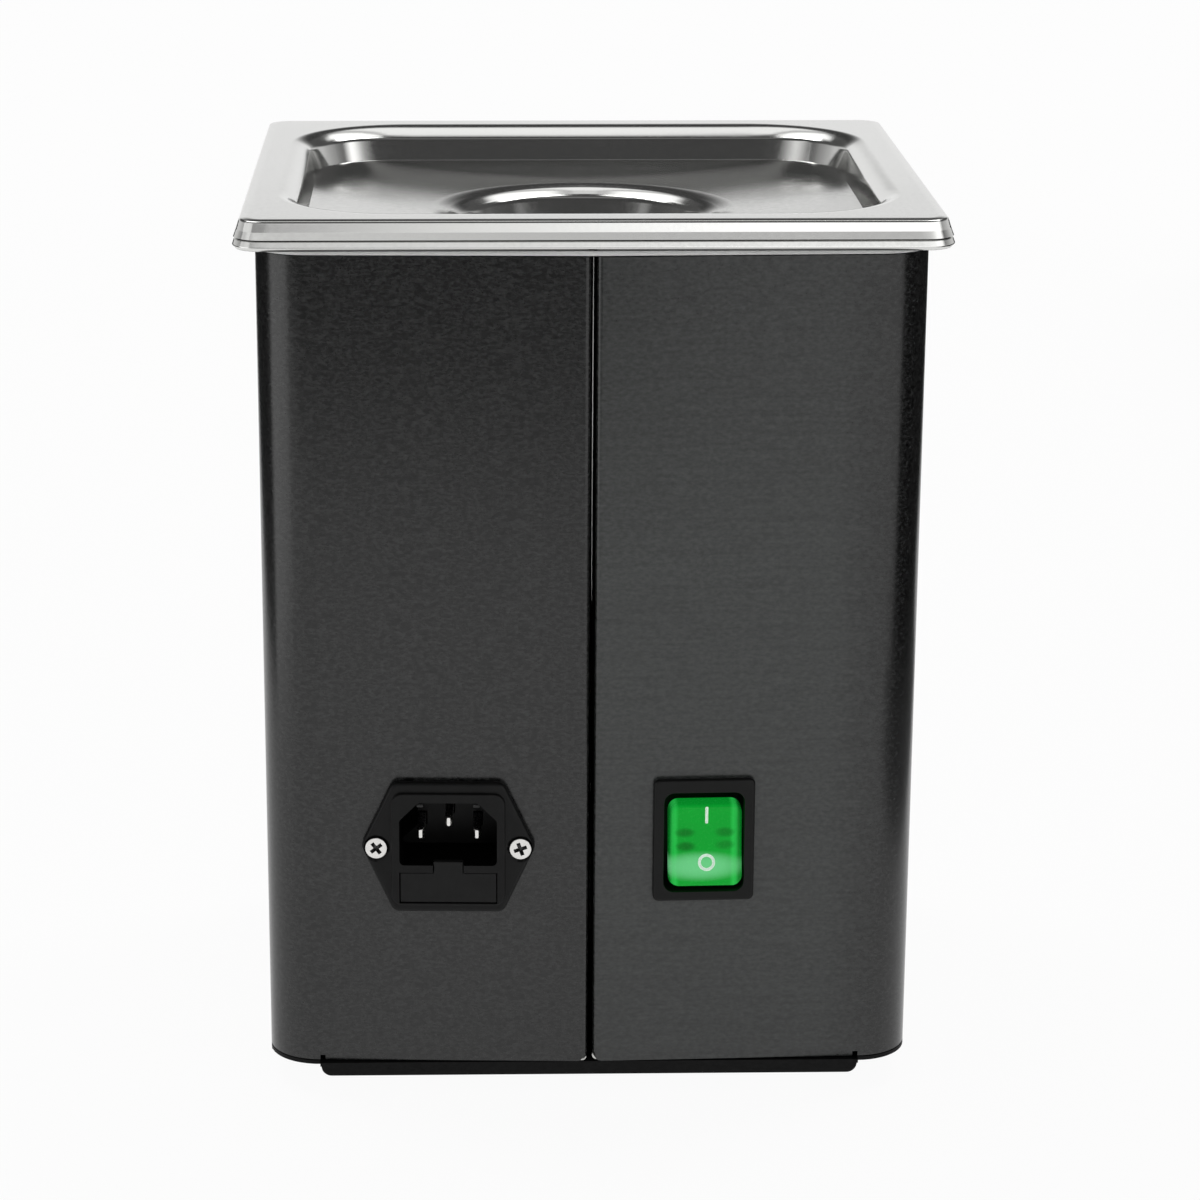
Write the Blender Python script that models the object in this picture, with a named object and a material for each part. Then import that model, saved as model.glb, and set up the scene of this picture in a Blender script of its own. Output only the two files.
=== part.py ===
"""Bench-top ultrasonic cleaner: pressed lid, tank, wrapped housing, mains inlet, lit switch and works.

Metres, +Z up. The origin is on the ground under the middle of the rim. The control panel faces -Y,
the inlet and the power switch face +Y. Every piece is one named object.
"""

from math import acos, atan2, cos, pi, radians, sin, sqrt, tan

import bmesh
import bpy
from mathutils import Matrix, Vector

# Clearances
FIT = 0.0003            # between pieces that touch
SLIDE = 0.0004          # round pieces that slide or turn

# Rim of the tank, which the lid covers
RIM_WIDTH = 0.172
RIM_DEPTH = 0.158
RIM_CORNER = 0.007
RIM_BEAD = 0.002        # height of the rolled edge
RIM_LAND_X = 0.013      # outer edge to tank mouth
RIM_LAND_Y = 0.010

# Housing, a sheet wrapped round with its two ends meeting at the back
SHEET = 0.001
RIM_OVERHANG_X = 0.0048
RIM_OVERHANG_Y = 0.0055
BODY_HEIGHT = 0.2064
BODY_CORNER = 0.013
BACK_PEAK = 0.0023      # the seam stands out this far, so the back is a shallow V
SEAM_GAP = 0.0013
SEAM_TURN_IN = 0.006
SEAM_BEND = 0.0014
SEAM_FOOT_ROUND = 0.0025
HEM_WIDTH = 0.012       # bottom hem that the base plate is screwed to
RELIEF_WIDTH = 0.0013
RELIEF_HEIGHT = 0.0012

# Base plate, feet and their places
GROUND_GAP = 0.005      # ground to the lower edge of the skirts
SKIRT_HEIGHT = 0.0035
SKIRT_ROUND = 0.0026
BASE_SHEET = 0.001
BASE_BACK_PROUD = 0.0017
FOOT_DIAMETER = 0.015
FOOT_TAPER = 0.001
FOOT_STEM = 0.0058
FOOT_BARB = 0.0074
FOOT_INSET_X = 0.023
FOOT_INSET_Y = 0.0215
BASE_SCREW_INSET = 0.0065
BASE_SCREW_SPAN = 0.096

# Tank and the seal under its rim
TANK_SHEET = 0.0008
TANK_DEPTH = 0.0995
TANK_TAPER = 0.003
TANK_CORNER = 0.022
TANK_FLOOR_ROUND = 0.015
TANK_MOUTH_ROUND = 0.002
SEAL_HEIGHT = 0.003
SEAL_WIDTH = 0.0026
SEAL_CORNER = 0.005     # tighter than the housing's, so it stands over the bend

# Lid
LID_SHEET = 0.0008
LID_RIM_HEIGHT = 0.00445
LID_FLARE = 0.0015      # the skirt leans out this far
LID_EDGE_ROUND = 0.0008
LID_INSET = 0.0003      # lid edge inside the tank rim edge
LID_BORDER_X = 0.0133   # flat border round the sunk panel
LID_BORDER_Y = 0.0105
PANEL_CORNER = 0.026
PANEL_WALL_RUN = 0.0072
PANEL_DEPTH = 0.008
PANEL_FALL = 0.0014     # the sunk floor falls towards the dish
DISH_DIAMETER = 0.078
DISH_DEPTH = 0.0165     # below its lip
DISH_WALL_RUN = 0.0065
DISH_LIP = 0.0007       # raised bead round the dish
STRAP_WIDTH = 0.018
STRAP_THICK = 0.0015
STRAP_DROP = 0.0039     # strap top below the dish lip, at the ends
STRAP_SAG = 0.0012

# Mains inlet with fuse drawer, in the left half of the back
INLET_X = 0.0354
INLET_Z = 0.0673
INLET_HALF = 0.02165    # centre to the side points of the six-sided flange
INLET_HEIGHT = 0.0334
INLET_TOP_EDGE = 0.0274
INLET_FLANGE = 0.0024
INLET_FRAME_WIDTH = 0.0274
INLET_FRAME_HEIGHT = 0.0286
INLET_FRAME_DROP = 0.0008
INLET_FRAME_PROUD = 0.001
INLET_BODY_DEPTH = 0.022
SOCKET_WIDTH = 0.0242
SOCKET_HEIGHT = 0.0157
SOCKET_RISE = 0.0033    # socket centre above the flange centre
SOCKET_CHAMFER = 0.0047
SOCKET_DEPTH = 0.0165
PIN_PITCH = 0.014
PIN_STEP = 0.004        # earth pin above the other two
PIN_WIDTH = 0.002
PIN_HEIGHT = 0.004
PIN_TIP_BELOW = 0.0045  # below the rim of the socket
PIN_TAIL = 0.007
INLET_SCREW_PITCH = 0.0358
SCREW_HEAD = 0.0056
SCREW_HEAD_HEIGHT = 0.0018
SCREW_SHANK = 0.0029
SCREW_HEAD_EDGE = 0.0003  # straight edge of a countersunk head
NUT_FLATS = 0.0055
NUT_HEIGHT = 0.0024
DRAWER_WIDTH = 0.0238
DRAWER_HEIGHT = 0.0074
DRAWER_LOW = 0.0104     # drawer centre below the flange centre
DRAWER_DEPTH = 0.0165
DRAWER_FACE = 0.0018
DRAWER_TAB = 0.0074
DRAWER_TAB_RISE = 0.0030  # reaches past the lower edge of the socket
FUSE_DIAMETER = 0.0052
FUSE_LENGTH = 0.020

# Lit rocker switch, in the right half of the back
SWITCH_X = 0.028
SWITCH_Z = 0.0684
BEZEL_WIDTH = 0.0252
BEZEL_HEIGHT = 0.0320
BEZEL_PROUD = 0.0017
BEZEL_ROUND = 0.0014
SWITCH_WALL = 0.0012
SWITCH_DEPTH = 0.020
ROCKER_WIDTH = 0.0192
ROCKER_HEIGHT = 0.0240  # twice the radius of its ends about the hinge
ROCKER_TILT = radians(7.5)
ROCKER_DISH = 0.0012    # hollow of the face between its two ends
ROCKER_PROUD = 0.0010   # pressed end above the panel
ROCKER_PIVOT = 0.0010   # hinge axis behind the panel
ROCKER_THICK = 0.0050
TERMINAL_WIDTH = 0.0063
TERMINAL_THICK = 0.0008
TERMINAL_LENGTH = 0.008

# Control panel on the front
PANEL_Z = 0.077
FASCIA_WIDTH = 0.116
FASCIA_HEIGHT = 0.064
FASCIA_THICK = 0.0026
FASCIA_CORNER = 0.006
SPIGOT_MARGIN = 0.005
SPIGOT_WALL = 0.002
SPIGOT_DEPTH = 0.0075
WINDOW_WIDTH = 0.062
WINDOW_HEIGHT = 0.022
WINDOW_RISE = 0.013
WINDOW_LEDGE = 0.003
WINDOW_THICK = 0.0014
DISPLAY_THICK = 0.005
BUTTON_COUNT = 5
BUTTON_PITCH = 0.0192
BUTTON_DROP = 0.0155
BUTTON_DIAMETER = 0.0104
BUTTON_PROUD = 0.0012
BUTTON_TRAVEL = 0.0008
BUTTON_COLLAR = 0.0012
BUTTON_COLLAR_LIP = 0.0013
BUTTON_STEM = 0.003
KEY_SIZE = 0.006
KEY_HEIGHT = 0.0030
BOARD_THICK = 0.0016
CONTROL_BOARD_GAP = 0.0070

# Transducer under the tank, heater and cut-out
HEAD_DIAMETER = 0.059
STACK_DIAMETER = 0.042
HEAD_HEIGHT = 0.024
HEAD_LAND = 0.006
RING_HEIGHT = 0.005
RING_BORE = 0.015
ELECTRODE = 0.0005
ELECTRODE_TAB = 0.006
TAIL_HEIGHT = 0.018
BOLT_DIAMETER = 0.010
BOLT_FLATS = 0.015
BOLT_HEAD = 0.0075
BOLT_REACH = 0.014      # thread inside the head
HEATER_THICK = 0.0015
HEATER_MARGIN = 0.005
HEATER_HOLE_GAP = 0.0025
CUTOUT_DIAMETER = 0.016
CUTOUT_HEIGHT = 0.007
CUTOUT_EAR = 0.0036

# Generator board on the base plate
DRIVER_WIDTH = 0.100
DRIVER_DEPTH = 0.070
DRIVER_Y = -0.008
STANDOFF_HEIGHT = 0.008
STANDOFF_FLATS = 0.006
STANDOFF_INSET = 0.006
SINK_WIDTH = 0.046
SINK_HEIGHT = 0.024
SINK_DEPTH = 0.018
SINK_BASE = 0.004
SINK_FINS = 6
SINK_FIN = 0.0018
CORE_WIDTH = 0.028
CORE_DEPTH = 0.016
CORE_HEIGHT = 0.022
COIL_PROUD = 0.005
CAN_DIAMETER = 0.016
CAN_HEIGHT = 0.026
LEAD_DIAMETER = 0.0024

# Levels worked out from the sizes above
BASE_TOP = GROUND_GAP + SKIRT_HEIGHT
BASE_UNDER = BASE_TOP - BASE_SHEET
BODY_BOTTOM = BASE_TOP + FIT
BODY_TOP = BODY_BOTTOM + BODY_HEIGHT
SEAL_BOTTOM = BODY_TOP + FIT
RIM_UNDER = SEAL_BOTTOM + SEAL_HEIGHT + FIT
RIM_TOP = RIM_UNDER + TANK_SHEET
TANK_FLOOR = RIM_TOP - TANK_DEPTH
TANK_UNDER = TANK_FLOOR - TANK_SHEET
LID_BOTTOM = RIM_TOP + FIT
LID_TOP = LID_BOTTOM + LID_RIM_HEIGHT
DISH_LEVEL = LID_TOP - PANEL_DEPTH - PANEL_FALL

# Half sizes in plan
RIM_HX = RIM_WIDTH / 2
RIM_HY = RIM_DEPTH / 2
BODY_HX = RIM_HX - RIM_OVERHANG_X
BODY_HY = RIM_HY - RIM_OVERHANG_Y
FLAT_HX = BODY_HX - BODY_CORNER
FLAT_HY = BODY_HY - BODY_CORNER
MOUTH_HX = RIM_HX - RIM_LAND_X
MOUTH_HY = RIM_HY - RIM_LAND_Y
BACK_LEAN = atan2(BACK_PEAK, FLAT_HX)
BACK_SEAM = BODY_HY + BACK_PEAK

# Ring sampling: steps along half a side and round a corner
SIDE_STEPS = 3
CORNER_STEPS = 6
ROUND_STEPS = 4 * (2 * SIDE_STEPS + CORNER_STEPS)


def clear_scene():
    for obj in list(bpy.data.objects):
        bpy.data.objects.remove(obj, do_unlink=True)


def finish_of(name, color, roughness, metallic):
    material = bpy.data.materials.new(name)
    material.use_nodes = True
    shader = material.node_tree.nodes["Principled BSDF"]
    shader.inputs["Base Color"].default_value = (*color, 1.0)
    shader.inputs["Roughness"].default_value = roughness
    shader.inputs["Metallic"].default_value = metallic
    return material


def make_finishes():
    return {
        "black_sheet": finish_of("black_sheet", (0.045, 0.047, 0.046), 0.45, 0.6),
        "steel": finish_of("steel", (0.72, 0.72, 0.70), 0.18, 1.0),
        "seal": finish_of("seal", (0.55, 0.55, 0.54), 0.6, 0.0),
        "rubber": finish_of("rubber", (0.03, 0.03, 0.03), 0.8, 0.0),
        "black_plastic": finish_of("black_plastic", (0.02, 0.02, 0.02), 0.4, 0.0),
        "green_lens": finish_of("green_lens", (0.02, 0.42, 0.07), 0.25, 0.0),
        "bright_metal": finish_of("bright_metal", (0.75, 0.74, 0.71), 0.25, 1.0),
        "brass": finish_of("brass", (0.70, 0.55, 0.25), 0.3, 1.0),
        "glass": finish_of("glass", (0.85, 0.88, 0.88), 0.05, 0.0),
        "aluminium": finish_of("aluminium", (0.66, 0.67, 0.68), 0.35, 1.0),
        "ceramic": finish_of("ceramic", (0.45, 0.40, 0.33), 0.7, 0.0),
        "silicone": finish_of("silicone", (0.55, 0.16, 0.08), 0.7, 0.0),
        "board": finish_of("board", (0.03, 0.16, 0.08), 0.5, 0.0),
        "coil": finish_of("coil", (0.60, 0.42, 0.10), 0.5, 0.0),
        "panel_plastic": finish_of("panel_plastic", (0.05, 0.05, 0.055), 0.5, 0.0),
        "button_plastic": finish_of("button_plastic", (0.55, 0.56, 0.57), 0.45, 0.0),
        "window": finish_of("window", (0.015, 0.012, 0.015), 0.08, 0.0),
        "lead_brown": finish_of("lead_brown", (0.16, 0.06, 0.03), 0.5, 0.0),
        "lead_blue": finish_of("lead_blue", (0.03, 0.10, 0.40), 0.5, 0.0),
        "lead_earth": finish_of("lead_earth", (0.30, 0.45, 0.05), 0.5, 0.0),
        "lead_red": finish_of("lead_red", (0.45, 0.03, 0.03), 0.5, 0.0),
    }


# Outlines and solids

def arc(cx, cy, radius, start, end, steps):
    turn = [start + (end - start) * i / steps for i in range(steps + 1)]
    return [(cx + radius * cos(a), cy + radius * sin(a)) for a in turn]


def rounded(corners, radius, steps=4):
    """A convex outline, anticlockwise, with every corner rounded."""
    points = []
    count = len(corners)
    for i, corner in enumerate(corners):
        here = Vector(corner)
        before = (Vector(corners[i - 1]) - here).normalized()
        after = (Vector(corners[(i + 1) % count]) - here).normalized()
        half = before.angle(after) / 2
        middle = here + (before + after).normalized() * radius / sin(half)
        first = here + before * radius / tan(half) - middle
        last = here + after * radius / tan(half) - middle
        start = atan2(first.y, first.x)
        sweep = (atan2(last.y, last.x) - start) % (2 * pi)
        points += arc(middle.x, middle.y, radius, start, start + sweep, steps)
    return points


def rectangle(width, height, cx=0.0, cy=0.0):
    hx, hy = width / 2, height / 2
    return [(cx - hx, cy - hy), (cx + hx, cy - hy), (cx + hx, cy + hy), (cx - hx, cy + hy)]


def regular(sides, across_flats, turn=0.0):
    radius = across_flats / 2 / cos(pi / sides)
    return [(radius * cos(turn + 2 * pi * i / sides), radius * sin(turn + 2 * pi * i / sides))
            for i in range(sides)]


def circle(diameter, steps=24, cx=0.0, cy=0.0):
    return arc(cx, cy, diameter / 2, 0, 2 * pi * (steps - 1) / steps, steps - 1)


def plan_ring(hx, hy, radius, z):
    """One ring of a pressed form: a rounded rectangle, or a circle where the radius fills it."""
    if radius > min(hx, hy) - 1e-6:
        return [Vector((x, y, z)) for x, y in circle(2 * hx, ROUND_STEPS)]
    sx, sy = hx - radius, hy - radius
    quarter = [(hx, sy * i / SIDE_STEPS) for i in range(SIDE_STEPS)]
    quarter += arc(sx, sy, radius, 0, pi / 2, CORNER_STEPS)
    quarter += [(sx * (SIDE_STEPS - 1 - i) / SIDE_STEPS, hy) for i in range(SIDE_STEPS - 1)]
    points = quarter
    points = points + [(0, hy)] + [(-x, y) for x, y in reversed(quarter[1:])]
    points = points + [(-x, -y) for x, y in quarter]
    points = points + [(0, -hy)] + [(x, -y) for x, y in reversed(quarter[1:])]
    return [Vector((x, y, z)) for x, y in points]


def lofted(rings):
    """A closed body through rings of equal count, capped at both ends."""
    bm = bmesh.new()
    loops = [[bm.verts.new(point) for point in ring] for ring in rings]
    count = len(loops[0])
    for lower, upper in zip(loops, loops[1:]):
        for i in range(count):
            j = (i + 1) % count
            bm.faces.new((lower[i], lower[j], upper[j], upper[i]))
    bm.faces.new(list(reversed(loops[0])))
    bm.faces.new(loops[-1])
    bmesh.ops.recalc_face_normals(bm, faces=bm.faces)
    return bm


def prism(outline, low, high, along="Z"):
    """An outline pushed out along an axis: (x, y) along Z, (x, z) along Y or (y, z) along X."""
    place = {
        "Z": lambda u, v, w: (u, v, w),
        "Y": lambda u, v, w: (u, w, v),
        "X": lambda u, v, w: (w, u, v),
    }[along]
    return lofted([[Vector(place(u, v, w)) for u, v in outline] for w in (low, high)])


def turned(profile, steps=24, along="Z"):
    """A solid turned about an axis from (radius, height) pairs, both ends flat."""
    rings = []
    for radius, height in profile:
        ring = circle(2 * radius, steps)
        if along == "Z":
            rings.append([Vector((u, v, height)) for u, v in ring])
        else:
            rings.append([Vector((u, height, v)) for u, v in ring])
    return lofted(rings)


def merged(*parts):
    """Several bodies in one mesh, for a cutter or for one side of a union."""
    bm = bmesh.new()
    for part in parts:
        mesh = bpy.data.meshes.new("part")
        part.to_mesh(mesh)
        part.free()
        bm.from_mesh(mesh)
        bpy.data.meshes.remove(mesh)
    return bm


def moved(bm, x=0.0, y=0.0, z=0.0):
    bmesh.ops.translate(bm, verts=bm.verts, vec=(x, y, z))
    return bm


def add(name, bm, finish, parent=None, smooth=30):
    mesh = bpy.data.meshes.new(name)
    bm.to_mesh(mesh)
    bm.free()
    mesh.shade_smooth()
    mesh.set_sharp_from_angle(angle=radians(smooth))
    obj = bpy.data.objects.new(name, mesh)
    bpy.context.scene.collection.objects.link(obj)
    obj.parent = parent
    if finish:
        obj.data.materials.append(finish)
    return obj


def add_copy(name, source, parent=None, location=(0, 0, 0)):
    obj = bpy.data.objects.new(name, source.data)
    bpy.context.scene.collection.objects.link(obj)
    obj.parent = parent
    obj.location = location
    return obj


def helper(name, bm, parent=None):
    obj = add(name, bm, None, parent)
    obj.hide_render = True
    obj.display_type = "WIRE"
    return obj


def combine(obj, other, operation):
    step = obj.modifiers.new(other.name, "BOOLEAN")
    step.operation = operation
    step.solver = "EXACT"
    step.object = other


def soften(obj, width, angle=40, segments=2):
    step = obj.modifiers.new("edge", "BEVEL")
    step.width = width
    step.segments = segments
    step.limit_method = "ANGLE"
    step.angle_limit = radians(angle)


def empty(name, location, turn=0.0):
    obj = bpy.data.objects.new(name, None)
    bpy.context.scene.collection.objects.link(obj)
    obj.location = location
    obj.rotation_euler = (0, 0, turn)
    return obj


def back_station(name, x, z):
    """An empty on the outer face of the leaning back, with its Y axis square to it."""
    lean = -BACK_LEAN if x > 0 else BACK_LEAN
    y = BACK_SEAM - abs(x) * tan(BACK_LEAN)
    return empty(name, (x, y, z), lean)


def world_point(station, x, y, z):
    turn = Matrix.Rotation(station.rotation_euler.z, 4, "Z")
    return Vector(station.location) + turn @ Vector((x, y, z))


# Housing

def wrap_path():
    """Outer face of the sheet in plan, from one turned-in end round the front to the other."""
    lip = SEAM_GAP / 2
    bend = BACK_SEAM - SEAM_BEND
    right = [(lip, BACK_SEAM - SEAM_TURN_IN)]
    right += arc(lip + SEAM_BEND, bend, SEAM_BEND, pi, pi / 2 - BACK_LEAN, 4)
    right += arc(FLAT_HX, FLAT_HY, BODY_CORNER, pi / 2 - BACK_LEAN, 0, 7)
    right += arc(FLAT_HX, -FLAT_HY, BODY_CORNER, 0, -pi / 2, 7)
    return right + [(-x, y) for x, y in reversed(right)]


def inner_path(path, distance):
    """The path moved to its inner side, mitred at each point."""
    points = [Vector(p) for p in path]
    result = []
    for i, point in enumerate(points):
        ways = []
        if i > 0:
            ways.append((point - points[i - 1]).normalized())
        if i < len(points) - 1:
            ways.append((points[i + 1] - point).normalized())
        sides = [Vector((way.y, -way.x)) for way in ways]
        side = sum(sides, Vector((0, 0))).normalized()
        result.append(tuple(point + side * distance / side.dot(sides[0])))
    return result


def hem(start, end, width):
    """One bottom hem, from inside the wall to its free edge."""
    start, end = Vector(start), Vector(end)
    way = (end - start).normalized()
    inward = Vector((way.y, -way.x))
    trim = way * RELIEF_WIDTH
    near = inward * SHEET / 2
    far = inward * width
    cut = way * width * 0.6
    outline = [start + trim + near, end - trim + near, end - trim - cut + far, start + trim + cut + far]
    return prism([tuple(p) for p in outline], BODY_BOTTOM, BODY_BOTTOM + SHEET)


def hem_lines():
    """Outer ends of the flat stretches, in the direction that the sheet runs."""
    seam = SEAM_GAP / 2 + SEAM_BEND
    seam_y = BACK_SEAM - seam * tan(BACK_LEAN)
    return [
        ((seam + SEAM_FOOT_ROUND, seam_y), (FLAT_HX, BODY_HY)),
        ((BODY_HX, FLAT_HY), (BODY_HX, -FLAT_HY)),
        ((FLAT_HX, -BODY_HY), (-FLAT_HX, -BODY_HY)),
        ((-BODY_HX, -FLAT_HY), (-BODY_HX, FLAT_HY)),
        ((-FLAT_HX, BODY_HY), (-seam - SEAM_FOOT_ROUND, seam_y)),
    ]


def seam_foot_cut():
    """Rounds the two lower corners where the ends of the sheet meet."""
    lip = SEAM_GAP / 2
    reach = lip + SEAM_FOOT_ROUND
    top = BODY_BOTTOM + SEAM_FOOT_ROUND
    right = [(reach, BODY_BOTTOM - SHEET), (reach, BODY_BOTTOM)]
    right += arc(reach, top, SEAM_FOOT_ROUND, -pi / 2, -pi, 5)[1:]
    outline = right + [(-x, z) for x, z in reversed(right)]
    return prism(outline, BACK_SEAM - SEAM_TURN_IN - SHEET, BACK_SEAM + SHEET, "Y")


def relief_cuts():
    """Small square reliefs where each hem ends."""
    cuts = []
    half = RELIEF_WIDTH / 2
    for sx in (-1, 1):
        for sy in (-1, 1):
            for x, y in ((FLAT_HX - half, BODY_HY), (BODY_HX, FLAT_HY - half)):
                size = 4 * SHEET
                across = (RELIEF_WIDTH, size) if y == BODY_HY else (size, RELIEF_WIDTH)
                box = rectangle(*across, sx * x, sy * y)
                cuts.append(prism(box, BODY_BOTTOM - SHEET, BODY_BOTTOM + RELIEF_HEIGHT))
    return merged(*cuts)


def base_screw_places():
    return [(sx * BASE_SCREW_SPAN / 2, sy * (BODY_HY - BASE_SCREW_INSET)) for sx in (-1, 1) for sy in (-1, 1)]


def make_housing(finish):
    path = wrap_path()
    outline = path + list(reversed(inner_path(path, SHEET)))
    shell = add("housing_shell", prism(outline, BODY_BOTTOM, BODY_TOP), finish["black_sheet"])
    hems = [hem(start, end, HEM_WIDTH) for start, end in hem_lines()]
    combine(shell, helper("shell_hems", merged(*hems)), "UNION")
    holes = [prism(circle(SCREW_SHANK + 2 * FIT, 12, x, y), BODY_BOTTOM - SHEET, BODY_BOTTOM + 2 * SHEET)
             for x, y in base_screw_places()]
    combine(shell, helper("shell_reliefs", merged(relief_cuts(), *holes)), "DIFFERENCE")
    combine(shell, helper("seam_foot", seam_foot_cut()), "DIFFERENCE")
    return shell


def skirt(length, along, offset, side):
    """A turned-down edge of the base plate with round lower corners."""
    half = length / 2
    top = BASE_UNDER + BASE_SHEET / 2
    level = GROUND_GAP + SKIRT_ROUND
    outline = arc(SKIRT_ROUND - half, level, SKIRT_ROUND, pi, 1.5 * pi, 3)
    outline += arc(half - SKIRT_ROUND, level, SKIRT_ROUND, 1.5 * pi, 2 * pi, 3)
    outline += [(half, top), (-half, top)]
    low, high = sorted((offset, offset - side * BASE_SHEET))
    return prism(outline, low, high, along)


def make_base(finish):
    back = BODY_HY + BASE_BACK_PROUD
    front = -BODY_HY
    side = BODY_HX
    half = arc(FLAT_HX, -FLAT_HY, BODY_CORNER, -pi / 2, 0, 5)
    half += arc(FLAT_HX, FLAT_HY, BODY_CORNER, 0, pi / 2, 5) + [(FLAT_HX, back)]
    outline = half + [(-x, y) for x, y in reversed(half)]
    plate = add("base_plate", prism(outline, BASE_UNDER, BASE_TOP), finish["black_sheet"])
    long, short = 2 * (FLAT_HX - FIT), 2 * (FLAT_HY - FIT)
    skirts = [skirt(long, "Y", back, 1), skirt(long, "Y", front, -1),
              skirt(short, "X", side, 1), skirt(short, "X", -side, -1)]
    combine(plate, helper("base_skirts", merged(*skirts)), "UNION")
    holes = [(SCREW_SHANK + 2 * FIT, x, y) for x, y in base_screw_places()]
    holes += [(FOOT_STEM + 2 * FIT, x, y) for x, y in foot_places()]
    drills = [prism(circle(size, 16, x, y), BASE_UNDER - SHEET, BASE_TOP + SHEET) for size, x, y in holes]
    combine(plate, helper("base_holes", merged(*drills)), "DIFFERENCE")
    return plate


def foot_places():
    fx, fy = BODY_HX - FOOT_INSET_X, BODY_HY - FOOT_INSET_Y
    return [(sx * fx, sy * fy) for sx in (-1, 1) for sy in (-1, 1)]


def make_feet(finish):
    """Push-in feet: a tapered pad, a stem through the base plate and a barb above it."""
    top = BASE_UNDER - FIT
    catch = BASE_TOP + FIT
    radius = FOOT_DIAMETER / 2
    profile = [(radius - FOOT_TAPER - FOOT_TAPER / 2, 0), (radius - FOOT_TAPER, FOOT_TAPER / 2),
               (radius, top - FOOT_TAPER), (radius - FOOT_TAPER / 2, top),
               (FOOT_STEM / 2, top), (FOOT_STEM / 2, catch), (FOOT_BARB / 2, catch),
               (FOOT_STEM / 2 - FOOT_TAPER / 2, catch + FOOT_BARB / 2)]
    first = None
    for number, (x, y) in enumerate(foot_places(), 1):
        name = f"foot_{number}"
        foot = add(name, turned(profile, 18), finish["rubber"]) if first is None else add_copy(name, first)
        first = first or foot
        foot.location = (x, y, 0)


def pan_screw(length):
    """A pan-head screw along +Y: its head outside y = 0, its shank inside."""
    head = SCREW_HEAD / 2
    rise = SCREW_HEAD_HEIGHT
    return turned([(SCREW_SHANK / 2, -length), (SCREW_SHANK / 2, 0), (head, 0), (head, rise * 0.45),
                   (head * 0.78, rise * 0.85), (head * 0.45, rise)], 14, "Y")


def flat_screw(length):
    """A countersunk screw along +Y: the top of its head at y = 0."""
    head, shank = SCREW_HEAD / 2, SCREW_SHANK / 2
    cone = SCREW_HEAD_EDGE + head - shank
    return turned([(shank, -length), (shank, -cone), (head, -SCREW_HEAD_EDGE), (head, 0)], 16, "Y")


def countersink(depth):
    """The hole that a countersunk screw sits in, with its face at y = 0."""
    hole = SCREW_SHANK / 2 + FIT
    top = SCREW_HEAD / 2 + SCREW_HEAD_EDGE + FIT * sqrt(2)
    return turned([(hole, -depth), (hole, hole - top), (top, 0), (top + SHEET, SHEET)], 16, "Y")


def make_base_screws(finish):
    first = None
    turn = Matrix.Rotation(-pi / 2, 4, "X")
    for number, (x, y) in enumerate(base_screw_places(), 1):
        name = f"base_screw_{number}"
        if first is None:
            bm = pan_screw(BASE_SHEET + SHEET + 4 * FIT + NUT_HEIGHT)
            bmesh.ops.transform(bm, matrix=turn, verts=bm.verts)
            first = add(name, bm, finish["bright_metal"])
            screw = first
        else:
            screw = add_copy(name, first)
        screw.location = (x, y, BASE_UNDER - FIT)


# Tank, seal and lid

def sheet_body(profile, thickness):
    """A pressed sheet: its upper face follows rings (half x, half y, corner, z) from the middle out."""
    ways = [Vector((b[0] - a[0], b[3] - a[3])).normalized() for a, b in zip(profile, profile[1:])]
    under = []
    for i, (hx, hy, radius, z) in enumerate(profile):
        before = ways[max(i - 1, 0)]
        after = ways[min(i, len(ways) - 1)]
        side = Vector((before.y + after.y, -before.x - after.x)).normalized()
        reach = thickness / max(side.dot(Vector((before.y, -before.x))), 0.5)
        dx, dz = side.x * reach, side.y * reach
        if i == 0:
            dx, dz = 0.0, -thickness
        elif i == len(profile) - 1:
            dx, dz = thickness / after.y, 0.0
        under.append((hx + dx, hy + dx, max(radius + dx, thickness), z + dz))
    rings = [plan_ring(*ring) for ring in profile]
    rings += [plan_ring(*ring) for ring in reversed(under)]
    return lofted(rings)


def make_tank(finish):
    floor_x, floor_y = MOUTH_HX - TANK_TAPER, MOUTH_HY - TANK_TAPER
    corner = TANK_CORNER - TANK_TAPER
    profile = []
    for step in range(5):
        turn = pi / 2 * step / 4
        pull = TANK_FLOOR_ROUND * (1 - sin(turn))
        lift = TANK_FLOOR_ROUND * (1 - cos(turn))
        profile.append((floor_x - pull, floor_y - pull, corner - pull, TANK_FLOOR + lift))
    for step in range(4):
        turn = pi / 2 * step / 3
        out = TANK_MOUTH_ROUND * (1 - cos(turn))
        drop = TANK_MOUTH_ROUND * (1 - sin(turn))
        profile.append((MOUTH_HX + out, MOUTH_HY + out, TANK_CORNER + out, RIM_TOP - drop))
    bead = RIM_BEAD / 2
    for step in range(4):
        turn = pi / 2 * step / 3
        inset = bead * (1 - sin(turn))
        profile.append((RIM_HX - inset, RIM_HY - inset, RIM_CORNER - inset, RIM_TOP - bead * (1 - cos(turn))))
    profile.append((RIM_HX - bead * 0.3, RIM_HY - bead * 0.3, RIM_CORNER - bead * 0.3, RIM_TOP - RIM_BEAD))
    return add("tank", sheet_body(profile, TANK_SHEET), finish["steel"])


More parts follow.
